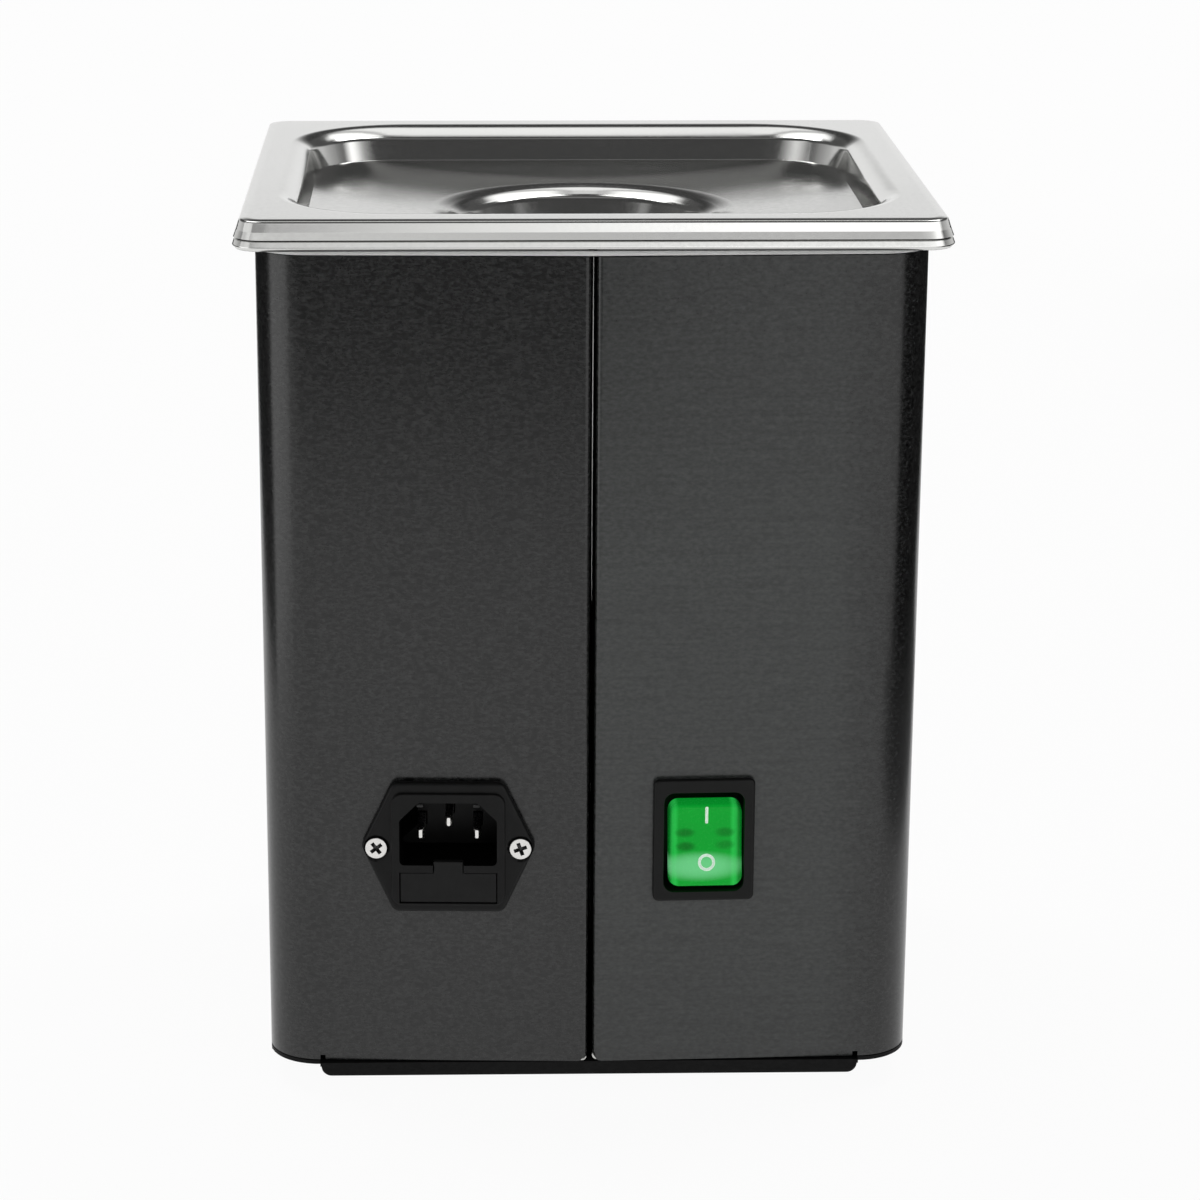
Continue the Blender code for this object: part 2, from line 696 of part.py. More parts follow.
def make_seal(finish):
    """A frame under the rim that lies on the upper edge of the housing."""
    corners = [(-BODY_HX, -BODY_HY), (BODY_HX, -BODY_HY), (BODY_HX, BACK_SEAM), (-BODY_HX, BACK_SEAM)]
    opening = rectangle(2 * (BODY_HX - SEAL_WIDTH), 2 * (BODY_HY - SEAL_WIDTH))
    outer = rounded(corners, SEAL_CORNER, CORNER_STEPS)
    inner = rounded(opening, BODY_CORNER - SHEET, CORNER_STEPS)
    low = SEAL_BOTTOM
    high = SEAL_BOTTOM + SEAL_HEIGHT
    bm = bmesh.new()
    loops = []
    for points, z in ((outer, low), (outer, high), (inner, high), (inner, low)):
        loops.append([bm.verts.new((x, y, z)) for x, y in points])
    count = len(outer)
    for a, b in zip(loops, loops[1:] + loops[:1]):
        for i in range(count):
            j = (i + 1) % count
            bm.faces.new((a[i], a[j], b[j], b[i]))
    bmesh.ops.recalc_face_normals(bm, faces=bm.faces)
    return add("rim_seal", bm, finish["seal"])


def dish_wall():
    """(radius, level) down the wall of the lid's dish, from its lip to its floor."""
    lip = DISH_DIAMETER / 2
    floor = DISH_LEVEL - DISH_DEPTH
    inner = lip - DISH_WALL_RUN
    points = [(lip, DISH_LEVEL + DISH_LIP), (lip - DISH_WALL_RUN * 0.22, DISH_LEVEL - DISH_DEPTH * 0.06)]
    points += [(lip - DISH_WALL_RUN * 0.42, DISH_LEVEL - DISH_DEPTH * 0.25)]
    points += [(inner + DISH_WALL_RUN * 0.12, DISH_LEVEL - DISH_DEPTH * 0.74)]
    points += [(inner - DISH_WALL_RUN * 0.18, DISH_LEVEL - DISH_DEPTH * 0.93)]
    points += [(inner - DISH_WALL_RUN * 0.75, floor)]
    return points


def lid_profile():
    """Upper face of the lid from the dish floor out to the lower edge of its skirt."""
    dish = [(radius, radius, radius, z) for radius, z in reversed(dish_wall())]
    lip = DISH_DIAMETER / 2 + 2 * DISH_LIP
    edge_x, edge_y = RIM_HX - LID_INSET, RIM_HY - LID_INSET
    crease_x, crease_y = edge_x - LID_FLARE, edge_y - LID_FLARE
    panel_x, panel_y = crease_x - LID_BORDER_X, crease_y - LID_BORDER_Y
    rows = dish + [(lip, lip, lip, DISH_LEVEL)]
    for share, level in ((1.0, 1.0), (0.74, 0.93), (0.50, 0.62), (0.34, 0.22), (0.18, 0.05), (0.0, 0.0)):
        pull = PANEL_WALL_RUN * share
        rows.append((panel_x - pull, panel_y - pull, PANEL_CORNER - pull, LID_TOP - PANEL_DEPTH * level))
    corner = RIM_CORNER - LID_FLARE
    back = LID_EDGE_ROUND
    rows.append((crease_x - back, crease_y - back, corner - back, LID_TOP))
    rows.append((crease_x - back * 0.3, crease_y - back * 0.3, corner - back * 0.3, LID_TOP - back * 0.3))
    rows.append((crease_x, crease_y, corner, LID_TOP - back))
    middle = LID_TOP - LID_RIM_HEIGHT * 0.62
    rows.append((crease_x + LID_FLARE * 0.45, crease_y + LID_FLARE * 0.45, corner + LID_FLARE * 0.45, middle))
    rows.append((edge_x, edge_y, corner + LID_FLARE, LID_BOTTOM))
    return rows


def make_lid(finish, lid_empty):
    return add("lid", sheet_body(lid_profile(), LID_SHEET), finish["steel"], lid_empty)


def make_lid_handle(finish, lid_empty):
    """A sagging strap across the dish, trimmed to the dish wall that it is welded to."""
    reach = DISH_DIAMETER / 2 + DISH_LIP
    top = DISH_LEVEL - STRAP_DROP
    steps = 8
    upper = []
    for i in range(steps + 1):
        x = reach * (2 * i / steps - 1)
        upper.append((x, top - STRAP_SAG * (1 - (x / reach) ** 2)))
    lower = [(x, z - STRAP_THICK) for x, z in upper]
    outline = lower + list(reversed(upper))
    strip = prism(outline, -STRAP_WIDTH / 2, STRAP_WIDTH / 2, "Y")
    strap = add("lid_handle", strip, finish["steel"], lid_empty)
    wall = [(radius - FIT - DISH_LIP * 0.2, z) for radius, z in reversed(dish_wall())]
    wall.append((wall[-1][0], LID_TOP))
    combine(strap, helper("dish_room", turned(wall, ROUND_STEPS), lid_empty), "INTERSECT")
    return strap


# Mains inlet

def inlet_face():
    return FIT + INLET_FLANGE + INLET_FRAME_PROUD


def socket_outline():
    hx = SOCKET_WIDTH / 2
    low = SOCKET_RISE - SOCKET_HEIGHT / 2
    high = SOCKET_RISE + SOCKET_HEIGHT / 2
    cut = SOCKET_CHAMFER
    corners = [(-hx, low), (hx, low), (hx, high - cut), (hx - cut, high)]
    corners += [(-hx + cut, high), (-hx, high - cut)]
    return rounded(corners, SOCKET_CHAMFER * 0.25, 2)


def pin_places():
    low = SOCKET_RISE - PIN_STEP / 2
    return {"live": (PIN_PITCH / 2, low), "neutral": (-PIN_PITCH / 2, low), "earth": (0.0, low + PIN_STEP)}


def drawer_outline(gap):
    """Face of the fuse drawer with the small tab that a blade lifts it by."""
    hx, hz = DRAWER_WIDTH / 2 + gap, DRAWER_HEIGHT / 2 + gap
    tab = DRAWER_TAB / 2 + gap
    top = hz - DRAWER_LOW
    rise = top + DRAWER_TAB_RISE
    return [(-hx, -hz - DRAWER_LOW), (hx, -hz - DRAWER_LOW), (hx, top), (tab, top), (tab, rise),
            (-tab, rise), (-tab, top), (-hx, top)]


def inlet_flange_outline():
    half, edge = INLET_HEIGHT / 2, INLET_TOP_EDGE / 2
    corners = [(-edge, -half), (edge, -half), (INLET_HALF, 0), (edge, half), (-edge, half), (-INLET_HALF, 0)]
    return rounded(corners, INLET_FLANGE, 4)


def inlet_neck_outline(gap=0.0):
    width = INLET_FRAME_WIDTH + 2 * gap
    height = INLET_FRAME_HEIGHT + 2 * gap
    return rounded(rectangle(width, height, 0, -INLET_FRAME_DROP), SOCKET_CHAMFER * 0.6, 3)


def make_inlet(finish, station, shell):
    back = FIT
    front = FIT + INLET_FLANGE
    face = inlet_face()
    flange = prism(inlet_flange_outline(), back, front, "Y")
    body = add("inlet_body", flange, finish["black_plastic"], station)
    neck = prism(inlet_neck_outline(), -INLET_BODY_DEPTH, face, "Y")
    combine(body, helper("inlet_neck", neck, station), "UNION")
    socket_floor = face - SOCKET_DEPTH
    pocket = rectangle(DRAWER_WIDTH + 2 * SLIDE, DRAWER_HEIGHT + 2 * SLIDE, 0, -DRAWER_LOW)
    cuts = [prism(socket_outline(), socket_floor, face + SHEET, "Y"),
            prism(drawer_outline(SLIDE), face - DRAWER_FACE - SLIDE, face + SHEET, "Y"),
            prism(pocket, face - DRAWER_DEPTH - SLIDE, face - DRAWER_FACE, "Y")]
    for x, z in pin_places().values():
        slot = rectangle(PIN_WIDTH + 2 * FIT, PIN_HEIGHT + 2 * FIT, x, z)
        cuts.append(prism(slot, -INLET_BODY_DEPTH - SHEET, socket_floor + SHEET, "Y"))
    for side in (-1, 1):
        cuts.append(moved(countersink(INLET_FLANGE + SHEET), side * INLET_SCREW_PITCH / 2, front, 0))
    nut_room = 2 * NUT_FLATS / sqrt(3) + 2 * FIT
    for side in (-1, 1):
        room = circle(nut_room, 16, side * INLET_SCREW_PITCH / 2, 0)
        cuts.append(prism(room, -INLET_BODY_DEPTH - SHEET, back - FIT / 2, "Y"))
    for number, cut in enumerate(cuts, 1):
        combine(body, helper(f"inlet_cut_{number}", cut, station), "DIFFERENCE")
    window = [prism(inlet_neck_outline(FIT), -2 * SHEET, SHEET, "Y")]
    for side in (-1, 1):
        hole = circle(SCREW_SHANK + 2 * FIT, 16, side * INLET_SCREW_PITCH / 2, 0)
        window.append(prism(hole, -2 * SHEET, SHEET, "Y"))
    combine(shell, helper("inlet_window", merged(*window), station), "DIFFERENCE")


def make_pins(finish, station):
    tip = inlet_face() - PIN_TIP_BELOW
    tail = -INLET_BODY_DEPTH - PIN_TAIL
    for name, (x, z) in pin_places().items():
        point = PIN_WIDTH * 0.4
        rings = []
        for y, shrink in ((tail, 0), (tip - point, 0), (tip, point * 0.6)):
            box = rectangle(PIN_WIDTH - 2 * shrink, PIN_HEIGHT - 2 * shrink, x, z)
            rings.append([Vector((u, y, v)) for u, v in box])
        add(f"inlet_pin_{name}", lofted(rings), finish["bright_metal"], station)


def make_inlet_fasteners(finish, station):
    length = INLET_FLANGE + SHEET + 2 * FIT + NUT_HEIGHT + SHEET
    screw = nut = None
    hexagon = regular(6, NUT_FLATS)
    ring_bore = circle(SCREW_SHANK + 2 * FIT, 12)
    for number, side in enumerate((-1, 1), 1):
        head_at = (side * INLET_SCREW_PITCH / 2, FIT + INLET_FLANGE, 0)
        nut_at = (side * INLET_SCREW_PITCH / 2, -SHEET - FIT, 0)
        if screw is None:
            plate = finish["bright_metal"]
            screw = add(f"inlet_screw_{number}", flat_screw(length), plate, station)
            nut = add(f"inlet_nut_{number}", prism(hexagon, -NUT_HEIGHT, 0, "Y"), plate, station)
            bore = helper("nut_bore", prism(ring_bore, -2 * NUT_HEIGHT, NUT_HEIGHT, "Y"), station)
            bore.location = nut_at
            combine(nut, bore, "DIFFERENCE")
            screw.location, nut.location = head_at, nut_at
        else:
            add_copy(f"inlet_screw_{number}", screw, station, head_at)
            other = add_copy(f"inlet_nut_{number}", nut, station, nut_at)
            bore = helper("nut_bore_2", prism(ring_bore, -2 * NUT_HEIGHT, NUT_HEIGHT, "Y"), station)
            bore.location = nut_at
            combine(other, bore, "DIFFERENCE")


def make_fuse_drawer(finish, station):
    """The drawer's face and a tray behind it, open above, that holds one fuse crosswise."""
    face = inlet_face() - FIT
    drawer = add("fuse_drawer", prism(drawer_outline(0), face - DRAWER_FACE, face, "Y"),
                 finish["black_plastic"], station)
    hz = DRAWER_HEIGHT / 2
    tray = rectangle(DRAWER_WIDTH, DRAWER_HEIGHT, 0, -DRAWER_LOW)
    block = prism(tray, face - DRAWER_DEPTH + FIT, face - DRAWER_FACE / 2, "Y")
    combine(drawer, helper("drawer_tray", block, station), "UNION")
    room = FUSE_DIAMETER + 2 * FIT
    deep = fuse_place()[0]
    slot = [(deep - room / 2, hz * 2 - DRAWER_LOW)]
    slot += arc(deep, fuse_place()[1], room / 2, pi, 2 * pi, 8)
    slot += [(deep + room / 2, hz * 2 - DRAWER_LOW)]
    half = FUSE_LENGTH / 2 + FIT
    combine(drawer, helper("fuse_slot", prism(slot, -half, half, "X"), station), "DIFFERENCE")
    return drawer


def fuse_place():
    """(y, z) of the fuse's axis at the inlet."""
    deep = inlet_face() - DRAWER_FACE - FUSE_DIAMETER
    return deep, -DRAWER_LOW - DRAWER_HEIGHT / 2 + FUSE_DIAMETER / 2 + 2 * SLIDE + FIT


def make_fuse(finish, station):
    """A glass tube with a metal cap at each end, drawn as one slim turned body."""
    radius = FUSE_DIAMETER / 2
    cap = FUSE_LENGTH * 0.27
    neck = radius * 0.88
    half = FUSE_LENGTH / 2
    edge = radius * 0.2
    end = [(radius - edge, half), (radius, half - edge), (radius, half - cap), (neck, half - cap)]
    profile = [(size, -along) for size, along in end] + list(reversed(end))
    bm = turned(profile, 16)
    bmesh.ops.transform(bm, matrix=Matrix.Rotation(pi / 2, 4, "Y"), verts=bm.verts)
    y, z = fuse_place()
    add("fuse", moved(bm, 0, y, z), finish["glass"], station)


# Power switch

def make_switch(finish, station, shell):
    outer = rounded(rectangle(BEZEL_WIDTH, BEZEL_HEIGHT), BEZEL_ROUND, 3)
    frame = add("switch_frame", prism(outer, FIT, FIT + BEZEL_PROUD, "Y"), finish["black_plastic"], station)
    bore_x, bore_z = ROCKER_WIDTH + 2 * SLIDE, ROCKER_HEIGHT + 2 * SLIDE
    body = rounded(rectangle(bore_x + 2 * SWITCH_WALL, bore_z + 2 * SWITCH_WALL), SWITCH_WALL, 2)
    case = prism(body, -SWITCH_DEPTH, FIT + BEZEL_PROUD / 2, "Y")
    combine(frame, helper("switch_body", case, station), "UNION")
    room = rounded(rectangle(bore_x, bore_z), SWITCH_WALL, 2)
    floor = -ROCKER_PIVOT - ROCKER_HEIGHT / 2 - SLIDE
    hollow = prism(room, floor, BEZEL_PROUD + 2 * SHEET, "Y")
    combine(frame, helper("rocker_room", hollow, station), "DIFFERENCE")
    for number, (x, z) in enumerate(terminal_places(), 1):
        slot = rectangle(TERMINAL_WIDTH + 2 * FIT, TERMINAL_THICK + 2 * FIT, x, z)
        cut = prism(slot, -SWITCH_DEPTH - SHEET, -SWITCH_DEPTH + TERMINAL_LENGTH * 0.3, "Y")
        combine(frame, helper(f"terminal_slot_{number}", cut, station), "DIFFERENCE")
    margin = 2 * SWITCH_WALL + 2 * FIT
    window = rounded(rectangle(bore_x + margin, bore_z + margin), SWITCH_WALL, 2)
    opening = prism(window, -2 * SHEET, SHEET, "Y")
    combine(shell, helper("switch_window", opening, station), "DIFFERENCE")


def terminal_places():
    x, z = ROCKER_WIDTH / 4, ROCKER_HEIGHT / 4
    return [(-x, -z), (x, -z), (-x, z), (x, z)]


def make_terminals(finish, station):
    first = None
    inner = -SWITCH_DEPTH + TERMINAL_LENGTH * 0.3 - FIT
    outline = rectangle(TERMINAL_WIDTH, TERMINAL_THICK)
    for number, (x, z) in enumerate(terminal_places(), 1):
        name = f"switch_terminal_{number}"
        if first is None:
            blade = prism(outline, inner - TERMINAL_LENGTH, inner, "Y")
            first = add(name, blade, finish["brass"], station)
            first.location = (x, 0, z)
        else:
            add_copy(name, first, station, (x, 0, z))


def make_rocker(finish, station):
    """The lit rocker about its pivot: hollow face, ends on an arc, pressed at its upper end."""
    pivot = empty("rocker_pivot", (0, -ROCKER_PIVOT, 0))
    pivot.parent = station
    radius = ROCKER_HEIGHT / 2
    pressed = acos((ROCKER_PIVOT + ROCKER_PROUD) / radius)
    tip = pressed - ROCKER_TILT
    lift, reach = radius * cos(tip), radius * sin(tip)
    under = acos((lift - ROCKER_THICK) / radius)
    face = []
    steps = 8
    for i in range(1, steps):
        u = 2 * i / steps - 1
        face.append((lift - ROCKER_DISH * (1 - u * u), u * reach))
    outline = face + arc(0, 0, radius, tip, under, 4) + arc(0, 0, radius, -under, -tip, 4)
    turn = Matrix.Rotation(ROCKER_TILT, 2)
    outline = [tuple(turn @ Vector(p)) for p in outline]
    half = ROCKER_WIDTH / 2
    rocker = add("power_rocker", prism(outline, -half, half, "X"), finish["green_lens"], pivot)
    soften(rocker, SWITCH_WALL / 2)
    return rocker


# Control panel

def front_face():
    return -BODY_HY


def button_places():
    first = -BUTTON_PITCH * (BUTTON_COUNT - 1) / 2
    return [(first + i * BUTTON_PITCH, -BUTTON_DROP) for i in range(BUTTON_COUNT)]


def boss_places():
    x = FASCIA_WIDTH / 2 - SPIGOT_MARGIN - SPIGOT_WALL - BUTTON_STEM
    z = FASCIA_HEIGHT / 2 - SPIGOT_MARGIN - SPIGOT_WALL - BUTTON_STEM
    return [(sx * x, sz * z) for sx in (-1, 1) for sz in (-1, 1)]


def spigot_outline(gap):
    size = (FASCIA_WIDTH - 2 * SPIGOT_MARGIN + 2 * gap, FASCIA_HEIGHT - 2 * SPIGOT_MARGIN + 2 * gap)
    return rounded(rectangle(*size), FASCIA_CORNER / 2 + gap, 3)


def make_fascia(finish, station, shell):
    """Front bezel: a flush plate outside the sheet and a spigot through the window in it."""
    skin = -FIT
    front = -FIT - FASCIA_THICK
    plate = rounded(rectangle(FASCIA_WIDTH, FASCIA_HEIGHT), FASCIA_CORNER, 4)
    fascia = add("control_fascia", prism(plate, front, skin, "Y"), finish["panel_plastic"], station)
    wall = prism(spigot_outline(0), skin - FASCIA_THICK / 2, SPIGOT_DEPTH, "Y")
    combine(fascia, helper("fascia_spigot", wall, station), "UNION")
    hollow = prism(spigot_outline(-SPIGOT_WALL), skin, SPIGOT_DEPTH + SHEET, "Y")
    combine(fascia, helper("fascia_hollow", hollow, station), "DIFFERENCE")
    bosses = [prism(circle(2 * BUTTON_STEM, 12, x, z), skin - FASCIA_THICK / 2, CONTROL_BOARD_GAP - FIT, "Y")
              for x, z in boss_places()]
    combine(fascia, helper("fascia_bosses", merged(*bosses), station), "UNION")
    holes = [prism(circle(BUTTON_DIAMETER + 2 * SLIDE, 20, x, z), front - SHEET, skin + SHEET, "Y")
             for x, z in button_places()]
    seat = rectangle(WINDOW_WIDTH, WINDOW_HEIGHT, 0, WINDOW_RISE)
    holes.append(prism(seat, front - SHEET, front + WINDOW_THICK + FIT, "Y"))
    combine(fascia, helper("fascia_holes", merged(*holes), station), "DIFFERENCE")
    sight = rectangle(WINDOW_WIDTH - 2 * WINDOW_LEDGE, WINDOW_HEIGHT - 2 * WINDOW_LEDGE, 0, WINDOW_RISE)
    combine(fascia, helper("fascia_sight", prism(sight, front, skin + SHEET, "Y"), station), "DIFFERENCE")
    opening = prism(spigot_outline(FIT), -2 * SHEET, 3 * SHEET, "Y")
    combine(shell, helper("fascia_window", opening, station), "DIFFERENCE")


def make_display(finish, station):
    front = -FIT - FASCIA_THICK
    lens = rectangle(WINDOW_WIDTH - 2 * FIT, WINDOW_HEIGHT - 2 * FIT, 0, WINDOW_RISE)
    add("display_window", prism(lens, front, front + WINDOW_THICK, "Y"), finish["window"], station)
    module = rectangle(WINDOW_WIDTH - 2 * WINDOW_LEDGE, WINDOW_HEIGHT - WINDOW_LEDGE, 0, WINDOW_RISE)
    back = CONTROL_BOARD_GAP - FIT
    add("display_module", prism(module, back - DISPLAY_THICK, back, "Y"), finish["black_plastic"], station)


def make_control_board(finish, station):
    size = (FASCIA_WIDTH - 2 * SPIGOT_MARGIN - 2 * SPIGOT_WALL - 2 * FIT,
            FASCIA_HEIGHT - 2 * SPIGOT_MARGIN - 2 * SPIGOT_WALL - 2 * FIT)
    front = CONTROL_BOARD_GAP
    outline = rounded(rectangle(*size), FASCIA_CORNER / 2 - SPIGOT_WALL + SHEET, 2)
    board = add("control_board", prism(outline, front, front + BOARD_THICK, "Y"), finish["board"], station)
    keys = [prism(rectangle(KEY_SIZE, KEY_SIZE, x, z), front - KEY_HEIGHT, front + BOARD_THICK / 2, "Y")
            for x, z in button_places()]
    combine(board, helper("key_switches", merged(*keys), station), "UNION")


def make_buttons(finish, station):
    """Round caps held behind the fascia by a collar, each with a stem over its key switch."""
    radius = BUTTON_DIAMETER / 2
    front = -FIT - FASCIA_THICK - BUTTON_PROUD
    collar = 0.0
    end = CONTROL_BOARD_GAP - KEY_HEIGHT - BUTTON_TRAVEL - FIT
    profile = [(BUTTON_STEM / 2, end), (BUTTON_STEM / 2, collar + BUTTON_COLLAR),
               (radius + BUTTON_COLLAR_LIP, collar + BUTTON_COLLAR), (radius + BUTTON_COLLAR_LIP, collar),
               (radius, collar), (radius, front + BUTTON_PROUD * 0.35),
               (radius * 0.88, front), (radius * 0.5, front + BUTTON_PROUD * 0.25)]
    first = None
    for number, (x, z) in enumerate(button_places(), 1):
        name = f"button_{number}"
        if first is None:
            first = add(name, turned(profile, 18, "Y"), finish["button_plastic"], station)
            first.location = (x, 0, z)
        else:
            add_copy(name, first, station, (x, 0, z))


# Transducer, heater and cut-out under the tank

def stack_levels():
    """Upper level of each piece of the transducer, from the tank down."""
    head = TANK_UNDER - FIT
    ring_1 = head - HEAD_HEIGHT - FIT
    electrode_1 = ring_1 - RING_HEIGHT - FIT
    ring_2 = electrode_1 - ELECTRODE - FIT
    electrode_2 = ring_2 - RING_HEIGHT - FIT
    tail = electrode_2 - ELECTRODE - FIT
    bolt = tail - TAIL_HEIGHT - FIT
    return {"head": head, "ring_1": ring_1, "electrode_1": electrode_1, "ring_2": ring_2,
            "electrode_2": electrode_2, "tail": tail, "bolt": bolt}


def bored(obj, diameter, low, high):
    combine(obj, helper(obj.name + "_bore", prism(circle(diameter, 20), low, high)), "DIFFERENCE")


def make_transducer(finish):
    levels = stack_levels()
    wide, slim = HEAD_DIAMETER / 2, STACK_DIAMETER / 2
    bolt_hole = BOLT_DIAMETER + 2 * FIT
    top = levels["head"]
    low = top - HEAD_HEIGHT
    bell = turned([(slim, low), (slim, low + HEAD_LAND), (wide, top - HEAD_LAND), (wide, top)])
    head = add("transducer_head", bell, finish["aluminium"])
    bored(head, bolt_hole, low - SHEET, low + BOLT_REACH + 2 * FIT)
    for number in (1, 2):
        level = levels[f"ring_{number}"]
        blank = turned([(slim, level - RING_HEIGHT), (slim, level)])
        ring = add(f"piezo_ring_{number}", blank, finish["ceramic"])
        bored(ring, RING_BORE, level - RING_HEIGHT - SHEET, level + SHEET)
        level = levels[f"electrode_{number}"]
        plate = circle(STACK_DIAMETER, 24)
        disc = add(f"electrode_{number}", prism(plate, level - ELECTRODE, level), finish["brass"])
        way = 1 if number == 1 else -1
        root = slim * 0.6
        middle = way * (slim + ELECTRODE_TAB + root) / 2
        tab = rectangle(ELECTRODE_TAB + slim - root, ELECTRODE_TAB, middle, 0)
        combine(disc, helper(f"electrode_tab_{number}", prism(tab, level - ELECTRODE, level)), "UNION")
        bored(disc, RING_BORE, level - ELECTRODE - SHEET, level + SHEET)
    top = levels["tail"]
    low = top - TAIL_HEIGHT
    chamfer = HEAD_LAND / 4
    block = turned([(slim - chamfer, low), (slim, low + chamfer), (slim, top)])
    tail = add("transducer_tail", block, finish["steel"])
    bored(tail, bolt_hole, low - SHEET, top + SHEET)
    top = levels["bolt"]
    bolt = add("transducer_bolt", prism(regular(6, BOLT_FLATS), top - BOLT_HEAD, top), finish["bright_metal"])
    end = levels["head"] - HEAD_HEIGHT + BOLT_REACH
    combine(bolt, helper("bolt_shank", prism(circle(BOLT_DIAMETER, 20), top - BOLT_HEAD / 2, end)), "UNION")


def heater_half():
    """Half width and half depth of the heater pad, inside the rounding of the tank floor."""
    pull = TANK_TAPER + TANK_FLOOR_ROUND + HEATER_MARGIN
    return MOUTH_HX - pull, MOUTH_HY - pull


def make_heater(finish):
    hx, hy = heater_half()
    top = TANK_UNDER - FIT
    outline = rounded(rectangle(2 * hx, 2 * hy), HEATER_MARGIN, 3)
    pad = add("heater_pad", prism(outline, top - HEATER_THICK, top), finish["silicone"])
    bored(pad, HEAD_DIAMETER + 2 * HEATER_HOLE_GAP, top - HEATER_THICK - SHEET, top + SHEET)
    return top - HEATER_THICK


def cutout_place():
    hx, hy = heater_half()
    reach = CUTOUT_DIAMETER / 2 + HEATER_MARGIN
    return hx - reach - CUTOUT_EAR, reach - hy


def make_cutout(finish, pad_under):
    """A disc thermostat with two ears, pressed against the heater pad."""
    x, y = cutout_place()
    top = pad_under - FIT
    radius = CUTOUT_DIAMETER / 2
    case, end = radius * 0.92, radius * 0.7
    body = turned([(end, -CUTOUT_HEIGHT), (case, -CUTOUT_HEIGHT), (case, -BASE_SHEET),
                   (radius, -BASE_SHEET), (radius, 0)], 20)
    cutout = add("thermal_cutout", moved(body, x, y, top), finish["black_plastic"])
    ears = rounded(rectangle(CUTOUT_DIAMETER + 2 * CUTOUT_EAR, CUTOUT_EAR * 2, x, y), CUTOUT_EAR * 0.9, 3)
    combine(cutout, helper("cutout_ears", prism(ears, top - BASE_SHEET / 2, top)), "UNION")


# Generator board

def driver_top():
    return BASE_TOP + 2 * FIT + STANDOFF_HEIGHT + BOARD_THICK


def standoff_places():
    hx, hy = DRIVER_WIDTH / 2 - STANDOFF_INSET, DRIVER_DEPTH / 2 - STANDOFF_INSET
    return [(sx * hx, DRIVER_Y + sy * hy) for sx in (-1, 1) for sy in (-1, 1)]


def make_driver(finish):
    low = driver_top() - BOARD_THICK
    outline = rounded(rectangle(DRIVER_WIDTH, DRIVER_DEPTH, 0, DRIVER_Y), STANDOFF_INSET / 2, 3)
    add("driver_board", prism(outline, low, low + BOARD_THICK), finish["board"])
    first = None
    for number, (x, y) in enumerate(standoff_places(), 1):
        name = f"board_standoff_{number}"
        if first is None:
            first = add(name, prism(regular(6, STANDOFF_FLATS), 0, STANDOFF_HEIGHT), finish["brass"])
            first.location = (x, y, BASE_TOP + FIT)
        else:
            add_copy(name, first, None, (x, y, BASE_TOP + FIT))


def make_driver_parts(finish):
    level = driver_top() + FIT
    left = -DRIVER_WIDTH / 4
    right = DRIVER_WIDTH / 4
    back = DRIVER_Y + DRIVER_DEPTH / 4
    front = DRIVER_Y - DRIVER_DEPTH / 4
    pitch = (SINK_WIDTH - SINK_FIN) / (SINK_FINS - 1)
    comb = prism(rectangle(SINK_WIDTH, SINK_BASE, left, back), level, level + SINK_HEIGHT)
    sink = add("heat_sink", comb, finish["aluminium"])
    fins = [prism(rectangle(SINK_FIN, SINK_DEPTH, left - SINK_WIDTH / 2 + SINK_FIN / 2 + i * pitch,
                            back - SINK_DEPTH / 2), level, level + SINK_HEIGHT) for i in range(SINK_FINS)]
    combine(sink, helper("sink_fins", merged(*fins)), "UNION")
    block = prism(rectangle(CORE_WIDTH, CORE_DEPTH, right, back), level, level + CORE_HEIGHT)
    core = add("transformer", block, finish["coil"])
    depth = CORE_DEPTH + 2 * COIL_PROUD
    winding = prism(rounded(rectangle(CORE_WIDTH * 0.55, depth, right, back), COIL_PROUD * 0.9, 4),
                    level + CORE_HEIGHT * 0.2, level + CORE_HEIGHT * 0.8)
    combine(core, helper("transformer_coil", winding), "UNION")
    groove = CAN_DIAMETER / 2 * 0.94
    can = turned([(CAN_DIAMETER / 2, 0), (CAN_DIAMETER / 2, CAN_HEIGHT * 0.08), (groove, CAN_HEIGHT * 0.12),
                  (CAN_DIAMETER / 2, CAN_HEIGHT * 0.16), (CAN_DIAMETER / 2, CAN_HEIGHT * 0.97),
                  (groove, CAN_HEIGHT)], 20)
    add("capacitor", moved(can, right, front, level), finish["black_plastic"])


# Leads inside the housing

def smooth_route(points, steps=5):
    """Points along a smooth curve through the given ones, with a straight run at each end."""
    route = [points[0]]
    for a, b, c, d in zip(points, points[1:], points[2:], points[3:]):
        for i in range(steps):
            t = i / steps
            route.append(0.5 * (2 * b + (c - a) * t + (2 * a - 5 * b + 4 * c - d) * t ** 2
                                + (3 * b - a - 3 * c + d) * t ** 3))
    return route + [points[-2], points[-1]]


def add_lead(name, points, finish):
    curve = bpy.data.curves.new(name, "CURVE")
    curve.dimensions = "3D"
    curve.bevel_depth = LEAD_DIAMETER / 2
    curve.bevel_resolution = 2
    curve.use_fill_caps = True
    route = smooth_route(points)
    spline = curve.splines.new("POLY")
    spline.points.add(len(route) - 1)
    for place, point in zip(spline.points, route):
        place.co = (*point, 1.0)
    lead = bpy.data.objects.new(name, curve)
    bpy.context.scene.collection.objects.link(lead)
    lead.data.materials.append(finish)


